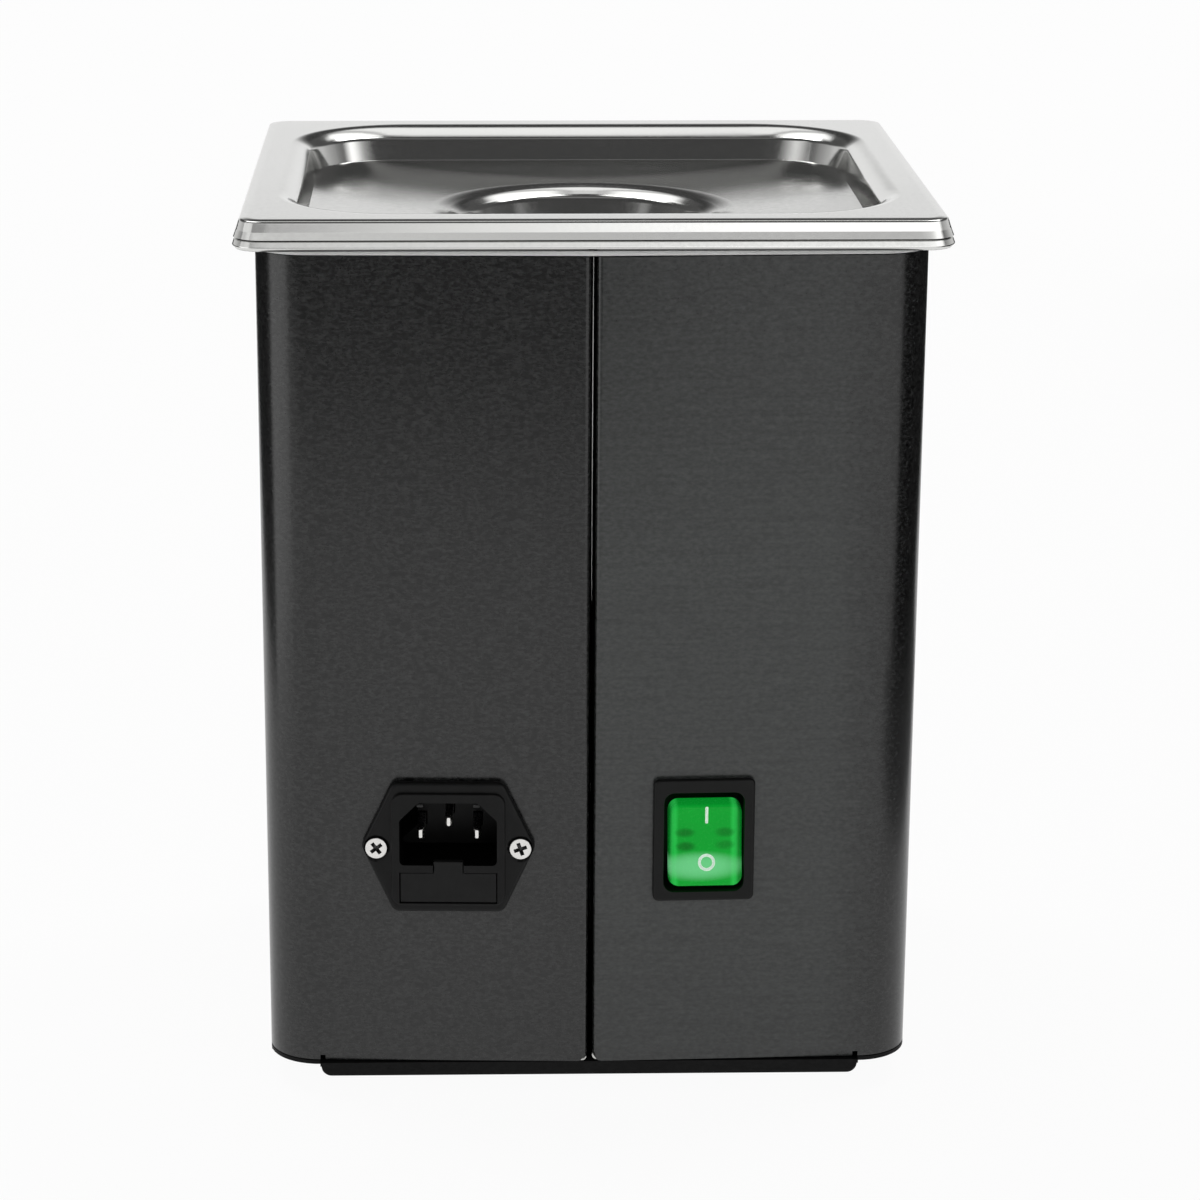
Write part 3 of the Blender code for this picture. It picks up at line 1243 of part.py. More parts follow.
def make_leads(finish, inlet, switch):
    pins = pin_places()
    tail = -INLET_BODY_DEPTH - PIN_TAIL - FIT
    bend = 6 * LEAD_DIAMETER

    def pin_end(name, further=0.0, drop=0.0):
        x, z = pins[name]
        return world_point(inlet, x, tail - further, z - drop)

    def blade_end(number, further=0.0, drop=0.0):
        x, z = terminal_places()[number]
        end = -SWITCH_DEPTH - TERMINAL_LENGTH * 0.7 - 2 * FIT
        return world_point(switch, x, end - further, z - drop)

    board = driver_top() + FIT
    back_edge = DRIVER_Y + DRIVER_DEPTH / 2 - STANDOFF_INSET
    # the switch hangs in the neutral line, so its two lower blades feed the board
    low = inlet.location.z - INLET_HEIGHT
    route = [pin_end("neutral"), pin_end("neutral", bend / 2), pin_end("neutral", bend, bend)]
    route += [blade_end(1, bend, bend), blade_end(1, bend / 2), blade_end(1)]
    add_lead("lead_neutral", route, finish["lead_blue"])
    live_x = DRIVER_WIDTH / 2 - 2 * STANDOFF_INSET
    route = [pin_end("live"), pin_end("live", bend / 2), pin_end("live", bend, bend)]
    route += [Vector((live_x, back_edge, z)) for z in (low, board + bend / 2, board)]
    add_lead("lead_live", route, finish["lead_brown"])
    earth_x = inlet.location.x
    earth_y = FLAT_HY - HEM_WIDTH
    ground = BASE_TOP + FIT
    route = [pin_end("earth"), pin_end("earth", bend / 2), pin_end("earth", bend * 0.7, bend)]
    route += [Vector((earth_x, earth_y, z)) for z in (low, ground + bend / 2, ground)]
    add_lead("lead_earth", route, finish["lead_earth"])
    levels = stack_levels()
    tab_x = -STACK_DIAMETER / 2 - ELECTRODE_TAB / 2
    tab_z = levels["electrode_2"] - ELECTRODE - FIT
    drive_x = -DRIVER_WIDTH / 4
    drive_y = DRIVER_Y - DRIVER_DEPTH / 4
    route = [Vector((tab_x, 0, z)) for z in (tab_z, tab_z - bend / 2)]
    route += [Vector((drive_x, drive_y, z)) for z in ((tab_z + board) / 2, board + bend / 2, board)]
    add_lead("lead_transducer", route, finish["lead_red"])


def main():
    clear_scene()
    finish = make_finishes()
    inlet = back_station("inlet_station", INLET_X, INLET_Z)
    switch = back_station("switch_station", -SWITCH_X, SWITCH_Z)
    panel = empty("panel_station", (0, front_face(), PANEL_Z))
    lid_empty = empty("lid_station", (0, 0, 0))
    shell = make_housing(finish)
    make_base(finish)
    make_feet(finish)
    make_base_screws(finish)
    make_tank(finish)
    make_seal(finish)
    make_lid(finish, lid_empty)
    make_lid_handle(finish, lid_empty)
    make_inlet(finish, inlet, shell)
    make_pins(finish, inlet)
    make_inlet_fasteners(finish, inlet)
    make_fuse_drawer(finish, inlet)
    make_fuse(finish, inlet)
    make_switch(finish, switch, shell)
    make_terminals(finish, switch)
    make_rocker(finish, switch)
    make_fascia(finish, panel, shell)
    make_display(finish, panel)
    make_control_board(finish, panel)
    make_buttons(finish, panel)
    make_transducer(finish)
    make_cutout(finish, make_heater(finish))
    make_driver(finish)
    make_driver_parts(finish)
    make_leads(finish, inlet, switch)


main()
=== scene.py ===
from math import acos, atan2, cos, pi, radians, sin, sqrt, tan

import bmesh
import bpy
from mathutils import Matrix, Vector


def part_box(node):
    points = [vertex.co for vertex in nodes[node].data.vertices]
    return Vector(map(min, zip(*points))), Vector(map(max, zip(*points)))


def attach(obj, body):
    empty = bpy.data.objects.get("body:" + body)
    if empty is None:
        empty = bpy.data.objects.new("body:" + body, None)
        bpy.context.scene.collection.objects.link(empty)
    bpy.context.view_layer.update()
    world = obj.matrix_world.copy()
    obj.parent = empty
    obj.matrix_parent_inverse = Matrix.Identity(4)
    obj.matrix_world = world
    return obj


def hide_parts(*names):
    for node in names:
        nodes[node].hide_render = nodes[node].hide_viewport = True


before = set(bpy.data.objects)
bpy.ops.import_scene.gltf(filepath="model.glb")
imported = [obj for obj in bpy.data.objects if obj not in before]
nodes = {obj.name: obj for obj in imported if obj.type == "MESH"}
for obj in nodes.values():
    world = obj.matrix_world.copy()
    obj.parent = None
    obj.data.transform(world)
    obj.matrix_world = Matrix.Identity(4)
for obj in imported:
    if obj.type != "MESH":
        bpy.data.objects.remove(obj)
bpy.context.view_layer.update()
scene = bpy.context.scene
scene.view_settings.view_transform = "Standard"
mm = 0.001
print("frame loaded,", len(nodes), "nodes")


# small helpers for node trees

def addNode(tree, kind, values=None, links=None):
    made = tree.nodes.new(kind)
    for key, value in (values or {}).items():
        if isinstance(key, int) or key in made.inputs:
            made.inputs[key].default_value = value
        else:
            setattr(made, key, value)
    for key, socket in (links or {}).items():
        tree.links.new(socket, made.inputs[key])
    return made


def feed(tree, socket, value):
    # a plain value, or another node's output
    if isinstance(value, bpy.types.NodeSocket):
        tree.links.new(value, socket)
    else:
        socket.default_value = value


def mathNode(tree, operation, first, second=0.0):
    made = addNode(tree, "ShaderNodeMath", {"operation": operation})
    feed(tree, made.inputs[0], first)
    feed(tree, made.inputs[1], second)
    return made.outputs[0]


def rangeNode(tree, value, low, high, toLow=0.0, toHigh=1.0, way="LINEAR"):
    spans = {"From Min": low, "From Max": high, "To Min": toLow, "To Max": toHigh}
    made = addNode(tree, "ShaderNodeMapRange", dict(spans, interpolation_type=way), {"Value": value})
    return made.outputs[0]


def mixNode(tree, share, first, second, blend="MIX"):
    made = addNode(tree, "ShaderNodeMix", {"data_type": "RGBA", "blend_type": blend})
    for place, value in ((0, share), (6, first), (7, second)):
        feed(tree, made.inputs[place], value)
    return made.outputs[2]


def rampNode(tree, value, stops):
    # stops are (place, colour); a new ramp starts with two
    made = addNode(tree, "ShaderNodeValToRGB", None, {"Fac": value})
    elements = made.color_ramp.elements
    while len(elements) < len(stops):
        elements.new(0.5)
    for element, (place, colour) in zip(elements, stops):
        element.position = place
        element.color = (*colour, 1.0)
    return made.outputs["Color"]


def objectPlace(tree):
    place = addNode(tree, "ShaderNodeTexCoord").outputs["Object"]
    return place, addNode(tree, "ShaderNodeSeparateXYZ", None, {"Vector": place}).outputs


def makeFinish(name, look):
    # tones drift with a soft cloud, roughness and bump follow a fine grain
    material = bpy.data.materials.new(name)
    material.use_nodes = True
    tree = material.node_tree
    shader = tree.nodes["Principled BSDF"]
    shader.inputs["Metallic"].default_value = look.get("metal", 0.0)
    for socket, value in look.get("shader", {}).items():
        shader.inputs[socket].default_value = value
    place = addNode(tree, "ShaderNodeTexCoord").outputs["Object"]
    stretch = {"Scale": look.get("stretch", (1, 1, 1))}
    where = {"Vector": addNode(tree, "ShaderNodeMapping", stretch, {"Vector": place}).outputs["Vector"]}
    noises = []
    for scale, detail in ((look["cloud"], 5.0), (look["grain"], 4.0)):
        shape = {"Scale": scale, "Detail": detail, "Roughness": 0.6}
        noises.append(addNode(tree, "ShaderNodeTexNoise", shape, where).outputs["Fac"])
    cloud, grain = noises
    tones = rampNode(tree, cloud, list(zip(look.get("span", (0.3, 0.7)), look["tones"])))
    tree.links.new(tones, shader.inputs["Base Color"])
    tree.links.new(rangeNode(tree, grain, 0.3, 0.7, *look["rough"]), shader.inputs["Roughness"])
    relief = {"Strength": look["bump"], "Distance": look.get("depth", 0.05) * mm}
    bump = addNode(tree, "ShaderNodeBump", relief, {"Height": grain})
    tree.links.new(bump.outputs["Normal"], shader.inputs["Normal"])
    return material


# outlines and meshes

def arcPoints(cx, cy, radius, start, end, steps):
    turns = [start + (end - start) * i / steps for i in range(steps + 1)]
    return [(cx + radius * cos(t), cy + radius * sin(t)) for t in turns]


def circleOutline(diameter, steps=48, cx=0.0, cy=0.0):
    return arcPoints(cx, cy, diameter / 2, 0, 2 * pi * (steps - 1) / steps, steps - 1)


def boxOutline(width, height, cx=0.0, cy=0.0):
    hx, hy = width / 2, height / 2
    return [(cx - hx, cy - hy), (cx + hx, cy - hy), (cx + hx, cy + hy), (cx - hx, cy + hy)]


def roundedOutline(corners, radius, steps=6):
    # anticlockwise and convex, every corner rounded
    points = []
    for i, corner in enumerate(corners):
        here = Vector(corner)
        back = (Vector(corners[i - 1]) - here).normalized()
        ahead = (Vector(corners[(i + 1) % len(corners)]) - here).normalized()
        half = back.angle(ahead) / 2
        middle = here + (back + ahead).normalized() * radius / sin(half)
        first = here + back * radius / tan(half) - middle
        last = here + ahead * radius / tan(half) - middle
        start = atan2(first.y, first.x)
        sweep = (atan2(last.y, last.x) - start) % (2 * pi)
        points += arcPoints(middle.x, middle.y, radius, start, start + sweep, steps)
    return points


def filletPath(points, steps=10, support=0.15 * mm):
    # (across, height, radius) corners of a section, as a smooth line with a short straight lead at each bend
    path = [Vector(points[0][:2])]
    for before, here, after in zip(points, points[1:], points[2:]):
        corner, radius = Vector(here[:2]), here[2]
        back = (Vector(before[:2]) - corner).normalized()
        ahead = (Vector(after[:2]) - corner).normalized()
        half = back.angle(ahead) / 2
        middle = corner + (back + ahead).normalized() * radius / sin(half)
        first = corner + back * radius / tan(half)
        last = corner + ahead * radius / tan(half)
        start = atan2(first.y - middle.y, first.x - middle.x)
        sweep = (atan2(last.y - middle.y, last.x - middle.x) - start + pi) % (2 * pi) - pi
        path.append(first + back * support)
        for i in range(steps + 1):
            turn = start + sweep * i / steps
            path.append(middle + radius * Vector((cos(turn), sin(turn))))
        path.append(last + ahead * support)
    return path + [Vector(points[-1][:2])]


def loft(rings, closed=False):
    # closed joins the last ring back to the first; otherwise both ends are capped
    bm = bmesh.new()
    loops = [[bm.verts.new(point) for point in ring] for ring in rings]
    count = len(loops[0])
    for lower, upper in zip(loops, loops[1:] + (loops[:1] if closed else [])):
        for i in range(count):
            j = (i + 1) % count
            bm.faces.new((lower[i], lower[j], upper[j], upper[i]))
    if not closed:
        bm.faces.new(list(reversed(loops[0])))
        bm.faces.new(loops[-1])
    bmesh.ops.recalc_face_normals(bm, faces=bm.faces)
    return bm


def prism(outline, low, high, along="Z"):
    order = {"X": (2, 0, 1), "Y": (0, 2, 1), "Z": (0, 1, 2)}[along]
    return loft([[Vector([(u, v, w)[i] for i in order]) for u, v in outline] for w in (low, high)])


def turnedBody(profile, steps=48, along="Z"):
    rings = []
    for radius, height in profile:
        ring = circleOutline(2 * radius, steps)
        rings.append([Vector((u, v, height) if along == "Z" else (u, height, v)) for u, v in ring])
    return loft(rings)


def flatSheet(points):
    bm = bmesh.new()
    bm.faces.new([bm.verts.new(point) for point in points])
    return bm


def moved(bm, x=0.0, y=0.0, z=0.0):
    bmesh.ops.translate(bm, verts=bm.verts, vec=(x, y, z))
    return bm


def merged(parts):
    bm = bmesh.new()
    for part in parts:
        mesh = bpy.data.meshes.new("part")
        part.to_mesh(mesh)
        part.free()
        bm.from_mesh(mesh)
        bpy.data.meshes.remove(mesh)
    return bm


def newPiece(name, bm, *finishes, place=None):
    mesh = bpy.data.meshes.new(name)
    bm.to_mesh(mesh)
    bm.free()
    for finish in finishes:
        mesh.materials.append(finish)
    piece = bpy.data.objects.new(name, mesh)
    scene.collection.objects.link(piece)
    if place is not None:
        piece.matrix_world = place
    return piece


def shadeSmooth(piece, angle=35):
    piece.data.shade_smooth()
    piece.data.set_sharp_from_angle(angle=radians(angle))


def shapePiece(piece, joins=(), cuts=(), edge=0.0, edgeAngle=40, segments=3, smooth=35):
    # joins and cuts are meshes in the piece's own coordinates; all is applied, so no modifier stays
    helpers = []
    for operation, parts in (("UNION", joins), ("DIFFERENCE", cuts)):
        for part in parts:
            helper = newPiece("helper", part)
            helper.matrix_world = piece.matrix_world
            helpers.append(helper)
            step = piece.modifiers.new(operation, "BOOLEAN")
            step.operation, step.solver, step.object = operation, "EXACT", helper
    if edge:
        step = piece.modifiers.new("edge", "BEVEL")
        step.width, step.segments = edge, segments
        step.limit_method, step.angle_limit = "ANGLE", radians(edgeAngle)
    bakeModifiers(piece)
    for helper in helpers:
        bpy.data.objects.remove(helper, do_unlink=True)
    shadeSmooth(piece, smooth)
    step = piece.modifiers.new("flats", "WEIGHTED_NORMAL")
    step.keep_sharp = True
    bakeModifiers(piece)


def bakeModifiers(piece):
    bpy.context.view_layer.update()
    graph = bpy.context.evaluated_depsgraph_get()
    old = piece.data
    piece.data = bpy.data.meshes.new_from_object(piece.evaluated_get(graph), depsgraph=graph)
    piece.modifiers.clear()
    piece.data.name = piece.name
    bpy.data.meshes.remove(old)


def seat(piece, body, slotName, *standsFor):
    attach(piece, body)
    if standsFor:
        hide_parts(*standsFor)


# camera, fitted to the photo

cameraSet = {
    "place": (0.03149, 0.90544, 0.37602),
    "ahead": (-0.02159, -0.95871, -0.28357),
    "above": (-0.00453, -0.28354, 0.95895),
    "focus": 3553.58,        # in pixels of the photo
    "photoWidth": 1200,
    "sensor": 36.0,
    "shift": 0.05,
}


def makeCamera():
    data = bpy.data.cameras.new("photoCamera")
    data.sensor_width, data.sensor_fit = cameraSet["sensor"], "HORIZONTAL"
    data.lens = cameraSet["focus"] / cameraSet["photoWidth"] * cameraSet["sensor"]
    data.shift_x = cameraSet["shift"]
    camera = bpy.data.objects.new("photoCamera", data)
    scene.collection.objects.link(camera)
    ahead, above = Vector(cameraSet["ahead"]).normalized(), Vector(cameraSet["above"])
    right = ahead.cross(above).normalized()
    turn = Matrix((right, right.cross(ahead), -ahead)).transposed().to_4x4()
    turn.translation = Vector(cameraSet["place"])
    camera.matrix_world = turn
    scene.camera = camera


makeCamera()

# studio: white sweep, a dark gap above it, a wide soft light overhead and one behind the camera

lowSky = [(0, 0.94), (10.8, 0.94), (14, 0.49), (18, 0.17), (22, 0.05), (35, 0.05)]
highSky = [(60, 0.06), (68, 0.27), (76, 0.13), (83, 0.06)]
studioSet = {
    # light by degrees above the ground: straight away from the camera, then further and further round,
    # and at last behind the camera, without and with the lamp there
    "farBands": lowSky + [(41, 1.2), (67, 1.2), (73, 0.06)],
    "gapBands": lowSky + [(41, 0.7), (67, 0.7), (73, 0.06)],
    "sideBands": [(0, 0.8), (10, 0.7), (20, 0.10), (38, 0.08), (43, 1.5), (70, 1.5), (78, 0.1)],
    "wideBands": [(0, 0.8), (10, 0.7), (20, 0.10), (46, 0.08), (53, 6.4), (74, 6.4), (82, 0.1)],
    "edgeBands": [(0, 0.7), (12, 0.6), (18, 0.35), (24, 0.12), (39, 0.06)] + highSky,
    "nearBands": [(0, 0.7), (12, 0.7), (22, 0.35), (27, 0.4), (32, 1.1), (35, 0.6), (39, 0.06)] + highSky,
    "lampBands": [(0, 1.2), (11, 1.2), (20, 1.6), (29, 1.6), (33, 0.5), (38, 0.06)] + highSky,
    # degrees off the far side where one set of bands runs into the next
    "turns": {"gapBands": (8.0, 9.5), "sideBands": (17, 20), "wideBands": (38, 44), "edgeBands": (64, 72),
              "nearBands": (100, 112)},
    "lampTurn": radians(1.5),    # the lamps stand a little to the right
    "lampEdge": 0.07,
    "floorTone": 0.86,
    "floorSize": 60.0,
    "floorDrop": 0.2 * mm,
    "floorLift": 0.95,           # share of the floor that camera and mirrors see as plain white
    # dark cards out of sight: middle x, y, width, height, turn in degrees and tone
    "cards": [(0.42, 0.80, 1.0, 0.25, 0, 0.12), (-0.42, -0.38, 1.28, 0.22, 90, 0.01),
              (0.42, -0.52, 1.14, 0.22, 90, 0.01)],
    "floorCard": (-0.25, -0.55, -0.25, 0.30, 0.30),     # lying on the right: x, x, y, y and tone
    "cardLift": 0.3 * mm,
    # soft lamp on the left: place, size, power
    "lamp": ((0.43, 0.23, 0.225), (0.34, 0.45), 0.27),
}


def makeWorld():
    s = studioSet
    world = bpy.data.worlds.new("studio")
    scene.world = world
    world.use_nodes = True
    tree = world.node_tree
    ray = addNode(tree, "ShaderNodeTexCoord").outputs["Generated"]
    axes = addNode(tree, "ShaderNodeSeparateXYZ", None, {"Vector": ray}).outputs
    rise = rangeNode(tree, mathNode(tree, "ARCSINE", axes["Z"]), 0.0, pi / 2)

    def bands(name):
        return rampNode(tree, rise, [(angle / 90, (value,) * 3) for angle, value in s[name]])

    away = mathNode(tree, "MULTIPLY", axes["Y"], -1.0)
    across = mathNode(tree, "ADD", axes["X"], mathNode(tree, "MULTIPLY", away, tan(s["lampTurn"])))
    turn = mathNode(tree, "ARCTAN2", mathNode(tree, "ABSOLUTE", across), away)
    beside = rangeNode(tree, axes["X"], s["lampEdge"], -s["lampEdge"])
    near = mixNode(tree, beside, bands("nearBands"), bands("lampBands"))
    around = bands("farBands")
    for name, (start, end) in s["turns"].items():
        share = rangeNode(tree, turn, radians(start), radians(end))
        around = mixNode(tree, share, around, near if name == "nearBands" else bands(name))
    tree.links.new(around, tree.nodes["Background"].inputs["Color"])


def makeLamp():
    place, (wide, tall), power = studioSet["lamp"]
    data = bpy.data.lights.new("leftLamp", "AREA")
    data.shape, data.size, data.size_y, data.energy = "RECTANGLE", wide, tall, power
    lamp = bpy.data.objects.new("leftLamp", data)
    scene.collection.objects.link(lamp)
    facing = Matrix.Rotation(pi / 2, 4, "Y") @ Matrix.Rotation(pi / 2, 4, "Z")
    lamp.matrix_world = Matrix.Translation(place) @ facing


def makeFloor():
    half, level = studioSet["floorSize"] / 2, -studioSet["floorDrop"]
    corners = [(x * half, y * half, level) for x, y in ((-1, -1), (1, -1), (1, 1), (-1, 1))]
    floor = newPiece("studioFloor", flatSheet(corners), makeFloorFinish())


def makeFloorFinish():
    material = bpy.data.materials.new("studioFloor")
    material.use_nodes = True
    tree = material.node_tree
    tree.nodes.remove(tree.nodes["Principled BSDF"])
    tone = studioSet["floorTone"]
    matt = addNode(tree, "ShaderNodeBsdfDiffuse", {"Color": (tone, tone, tone, 1)}).outputs[0]
    plain = addNode(tree, "ShaderNodeEmission", {"Strength": 1.0}).outputs[0]
    light = addNode(tree, "ShaderNodeLightPath").outputs
    seen = mathNode(tree, "MAXIMUM", light["Is Camera Ray"], light["Is Glossy Ray"])
    seen = mathNode(tree, "MAXIMUM", seen, light["Is Transmission Ray"])
    share = mathNode(tree, "MULTIPLY", seen, studioSet["floorLift"])
    mix = addNode(tree, "ShaderNodeMixShader", None, {0: share, 1: matt, 2: plain})
    tree.links.new(mix.outputs[0], tree.nodes["Material Output"].inputs["Surface"])
    return material


def cardFinish(tone):
    look = {"tones": ((tone,) * 3, (tone * 1.3,) * 3), "rough": (0.9, 1.0), "cloud": 20.0, "grain": 300.0,
            "bump": 0.05}
    return makeFinish("cardBlack", look)


def showCard(card):
    card.visible_camera = False          # seen only in the shine


def makeCards():
    for x, y, width, height, turn, tone in studioSet["cards"]:
        corners = [(u * width / 2, 0, v * height) for u, v in ((-1, 0), (1, 0), (1, 1), (-1, 1))]
        place = Matrix.Translation((x, y, 0)) @ Matrix.Rotation(radians(turn), 4, "Z")
        showCard(newPiece("darkCard", flatSheet(corners), cardFinish(tone), place=place))
    x1, x2, y1, y2, tone = studioSet["floorCard"]
    corners = [(x, y, studioSet["cardLift"]) for x, y in ((x2, y1), (x1, y1), (x1, y2), (x2, y2))]
    showCard(newPiece("floorCard", flatSheet(corners), cardFinish(tone)))


makeWorld()
makeFloor()
makeCards()
makeLamp()
print("studio and camera set")


# pressed steel: rings round the middle, from the inside out

def ringTurns():
    # closer together where the lid's corners are tight
    stops = [(0, 28, 7), (28, 39, 7), (39, 47, 16), (47, 60, 7), (60, 90, 7)]
    quarter = [radians(a + (b - a) * i / n) for a, b, n in stops for i in range(n)]
    half = quarter + [pi - t for t in reversed(quarter[1:] + [pi / 2])]
    return half + [t + pi for t in half]


turns = ringTurns()


def planPoint(halfX, halfY, corner, turn):
    across, along = abs(cos(turn)), abs(sin(turn))
    if along * halfX <= across * (halfY - corner):
        reach = halfX / across
    elif across * halfY <= along * (halfX - corner):
        reach = halfY / along
    else:
        mx, my = halfX - corner, halfY - corner
        middle = across * mx + along * my
        reach = middle + sqrt(max(middle ** 2 - mx ** 2 - my ** 2 + corner ** 2, 0))
    return reach * cos(turn), reach * sin(turn)


def planRing(halfX, halfY, corner, z):
    return [Vector((*planPoint(halfX, halfY, corner, turn), z)) for turn in turns]


def pressedSheet(rows, thick):
    # rows are (half x, half y, corner, height) of the upper face; the under face follows it
    ways = [Vector((b[0] - a[0], b[3] - a[3])).normalized() for a, b in zip(rows, rows[1:])]
    under = []
    for i, (hx, hy, corner, z) in enumerate(rows):
        before, after = ways[max(i - 1, 0)], ways[min(i, len(ways) - 1)]
        side = Vector((before.y + after.y, -before.x - after.x)).normalized()
        dx, dz = side.x * thick, side.y * thick
        if i == 0:
            dx, dz = 0.0, -thick
        elif i == len(rows) - 1:
            dx, dz = thick / after.y, 0.0
        under.append((hx + dx, hy + dx, max(corner + dx, thick), z + dz))
    return loft([planRing(*row) for row in rows] + [planRing(*row) for row in reversed(under)])


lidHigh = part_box("lid")[1]
rimLow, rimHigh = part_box("tank")

steelLook = {
    "tones": ((0.66, 0.66, 0.645), (0.70, 0.70, 0.685)), "metal": 1.0, "rough": (0.10, 0.15),
    "cloud": 18.0, "grain": 900.0, "bump": 0.02, "depth": 0.02,
}

lidSet = {
    "sheet": 0.8 * mm,
    "seat": 0.3 * mm,            # above the rim
    "flare": 1.5 * mm,           # the skirt leans out
    "rollOff": (1.9 * mm, 0.24 * mm, 10 * mm),      # run and fall of the border before its edge, rounding
    "edgeRound": 0.7 * mm,
    "skirtBreak": (0.80 * mm, 2.7 * mm, 1.2 * mm),  # out and down from the edge, rounding
    "corner": 5.5 * mm,          # of the edge, seen from above
    "border": 10.5 * mm,
    "panelCorner": 28 * mm,
    "panelDepth": 8.15 * mm,
    "wallStart": 3.0 * mm,       # the rounded edge of the panel starts on the border
    "sideShare": 0.58,           # the walls at the sides are steeper
    "wallLeans": (radians(31), radians(63)),
    "wallRounds": (15 * mm, 2 * mm, 0.2 * mm),
    "wallStraight": 0.35 * mm,   # between the two upper roundings
    "floorEdge": 0.9 * mm,       # from the foot of the wall to where the floor starts to bow
    "floorDip": 0.15 * mm,
    "floorSlope": radians(4.0),  # at the dish
    "floorSteps": 16,
    "dishLevel": 10.9 * mm,      # below the lid's top
    "dishLip": 42.3 * mm,
    # dish wall from its foot to its rolled edge: radius, below the lip, rounding
    "dishWall": [(25.0, 15.0, 5.0), (31.5, 2.55, 3.4), (34.4, 0.92, 6.0), (38.25, 0.09, 20.0)],
}


def wallCorners(top):
    # the panel's wall as straight lines: in from the border, height, rounding
    s = lidSet
    soft, steep = s["wallLeans"]
    first, second, foot = s["wallRounds"]
    top1 = s["wallStart"] - first * tan(soft / 2)
    run = first * tan(soft / 2) + second * tan((steep - soft) / 2) + s["wallStraight"]
    top2, drop2 = top1 - run * cos(soft), run * sin(soft)
    wallFoot = top2 - (s["panelDepth"] - drop2) / tan(steep)
    return [(wallFoot, top - s["panelDepth"], foot), (top2, top - drop2, second), (top1, top, first)]


def besideX(out):
    return lidSet["wallStart"] + lidSet["sideShare"] * (out - lidSet["wallStart"])


def lidRows():
    s = lidSet
    top = lidHigh.z
    creaseX, creaseY = lidHigh.x - s["flare"], lidHigh.y - s["flare"]
    panelX, panelY = creaseX - s["border"], creaseY - s["border"]
    level = top - s["dishLevel"]
    dish = [(r * mm, level - down * mm, rounding * mm) for r, down, rounding in s["dishWall"]]
    section = [(0, dish[0][1], 0)] + dish + [(s["dishLip"], level, 0)]
    rows = [(p.x, p.x, p.x, p.y) for p in filletPath(section, 12)[1:]]

    corners = wallCorners(top)
    edge = corners[0][0] - s["floorEdge"]
    lip, rise = s["dishLip"], corners[0][1] - s["floorDip"] - level
    inside = (panelX + besideX(edge), panelY + edge, s["panelCorner"] + edge)
    gentle = tan(s["floorSlope"]) * (inside[1] - lip) / rise
    for i in range(1, s["floorSteps"] + 1):      # the sunk floor falls to the dish, less and less
        t = i / s["floorSteps"]
        height = level + rise * (gentle * t + (1 - gentle) * t * t)
        rows.append((*(lip + (goal - lip) * t for goal in inside), height))
    wall = filletPath([(edge, rows[-1][3], 0)] + corners + [(2 * s["wallStart"], top, 0)], 14)
    rows += [(panelX + besideX(p.x), panelY + p.x, s["panelCorner"] + p.x, p.y) for p in wall[1:-1]]

    run, fall, soft = s["rollOff"]
    out, down, bend = s["skirtBreak"]
    section = [(-2 * run, top, 0), (-run, top, soft), (0, top - fall, s["edgeRound"]),
               (out, top - down, bend), (s["flare"], rimHigh.z + s["seat"], 0)]
    rows += [(creaseX + p.x, creaseY + p.x, s["corner"] + p.x, p.y) for p in filletPath(section, 8)[1:]]
    return rows


def makeLid():
    sheet = pressedSheet(lidRows(), lidSet["sheet"])
    lid = newPiece("lidPressing", sheet, makeFinish("lidSteel", steelLook))
    shadeSmooth(lid, 50)
    seat(lid, "lid_body", "lid_steel", "lid")


strapSet = {
    "thick": 1.5 * mm,
    "edgeRound": 0.5 * mm,
    "gap": 0.1 * mm,
    "steps": 36,
}


def makeStrap():
    # trimmed to the dish wall at both ends, edges rounded
    low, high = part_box("lid_handle")
    half = (high.y - low.y) / 2
    thick, edge = strapSet["thick"], strapSet["edgeRound"]
    sag = (high.z - low.z) - thick
    section = roundedOutline(boxOutline(2 * half, thick), edge, 4)
    (footR, footZ, _), (topR, topZ, _) = lidSet["dishWall"][:2]
    lean = (topR - footR) / (footZ - topZ)
    level = lidHigh.z - lidSet["dishLevel"] - topZ * mm
    reach = topR * mm + lean * (high.z - thick / 2 - level) - strapSet["gap"]
    rings = []
    for i in range(strapSet["steps"] + 1):
        u = 2 * i / strapSet["steps"] - 1
        ring = []
        for y, z in section:
            wall = sqrt(reach ** 2 - y ** 2) + lean * z        # follows the round wall
            ring.append(Vector((u * wall, y, high.z - thick / 2 + z - sag * (1 - u * u))))
        rings.append(ring)
    look = dict(steelLook, stretch=(1, 14, 14), rough=(0.16, 0.24), bump=0.06)
    strap = newPiece("lidStrap", loft(rings), makeFinish("strapSteel", look))
    shadeSmooth(strap, 40)
    seat(strap, "lid_body", "strap_steel", "lid_handle")


tankSet = {
    "sheet": 0.8 * mm,
    "land": (13 * mm, 10 * mm),
    "mouthCorner": 22 * mm,
    "taper": 3 * mm,
    "floorRun": 20 * mm,         # from the mouth to the flat of the floor
    "floorRound": 15 * mm,
    "mouthRound": 2 * mm,
    "rimCorner": 7 * mm,
    # in from the rim, below its top, rounding
    "bead": [(0.59, 0, 0.35), (0.0, 1.58, 0.4), (0.8, 2.45, 0)],
}


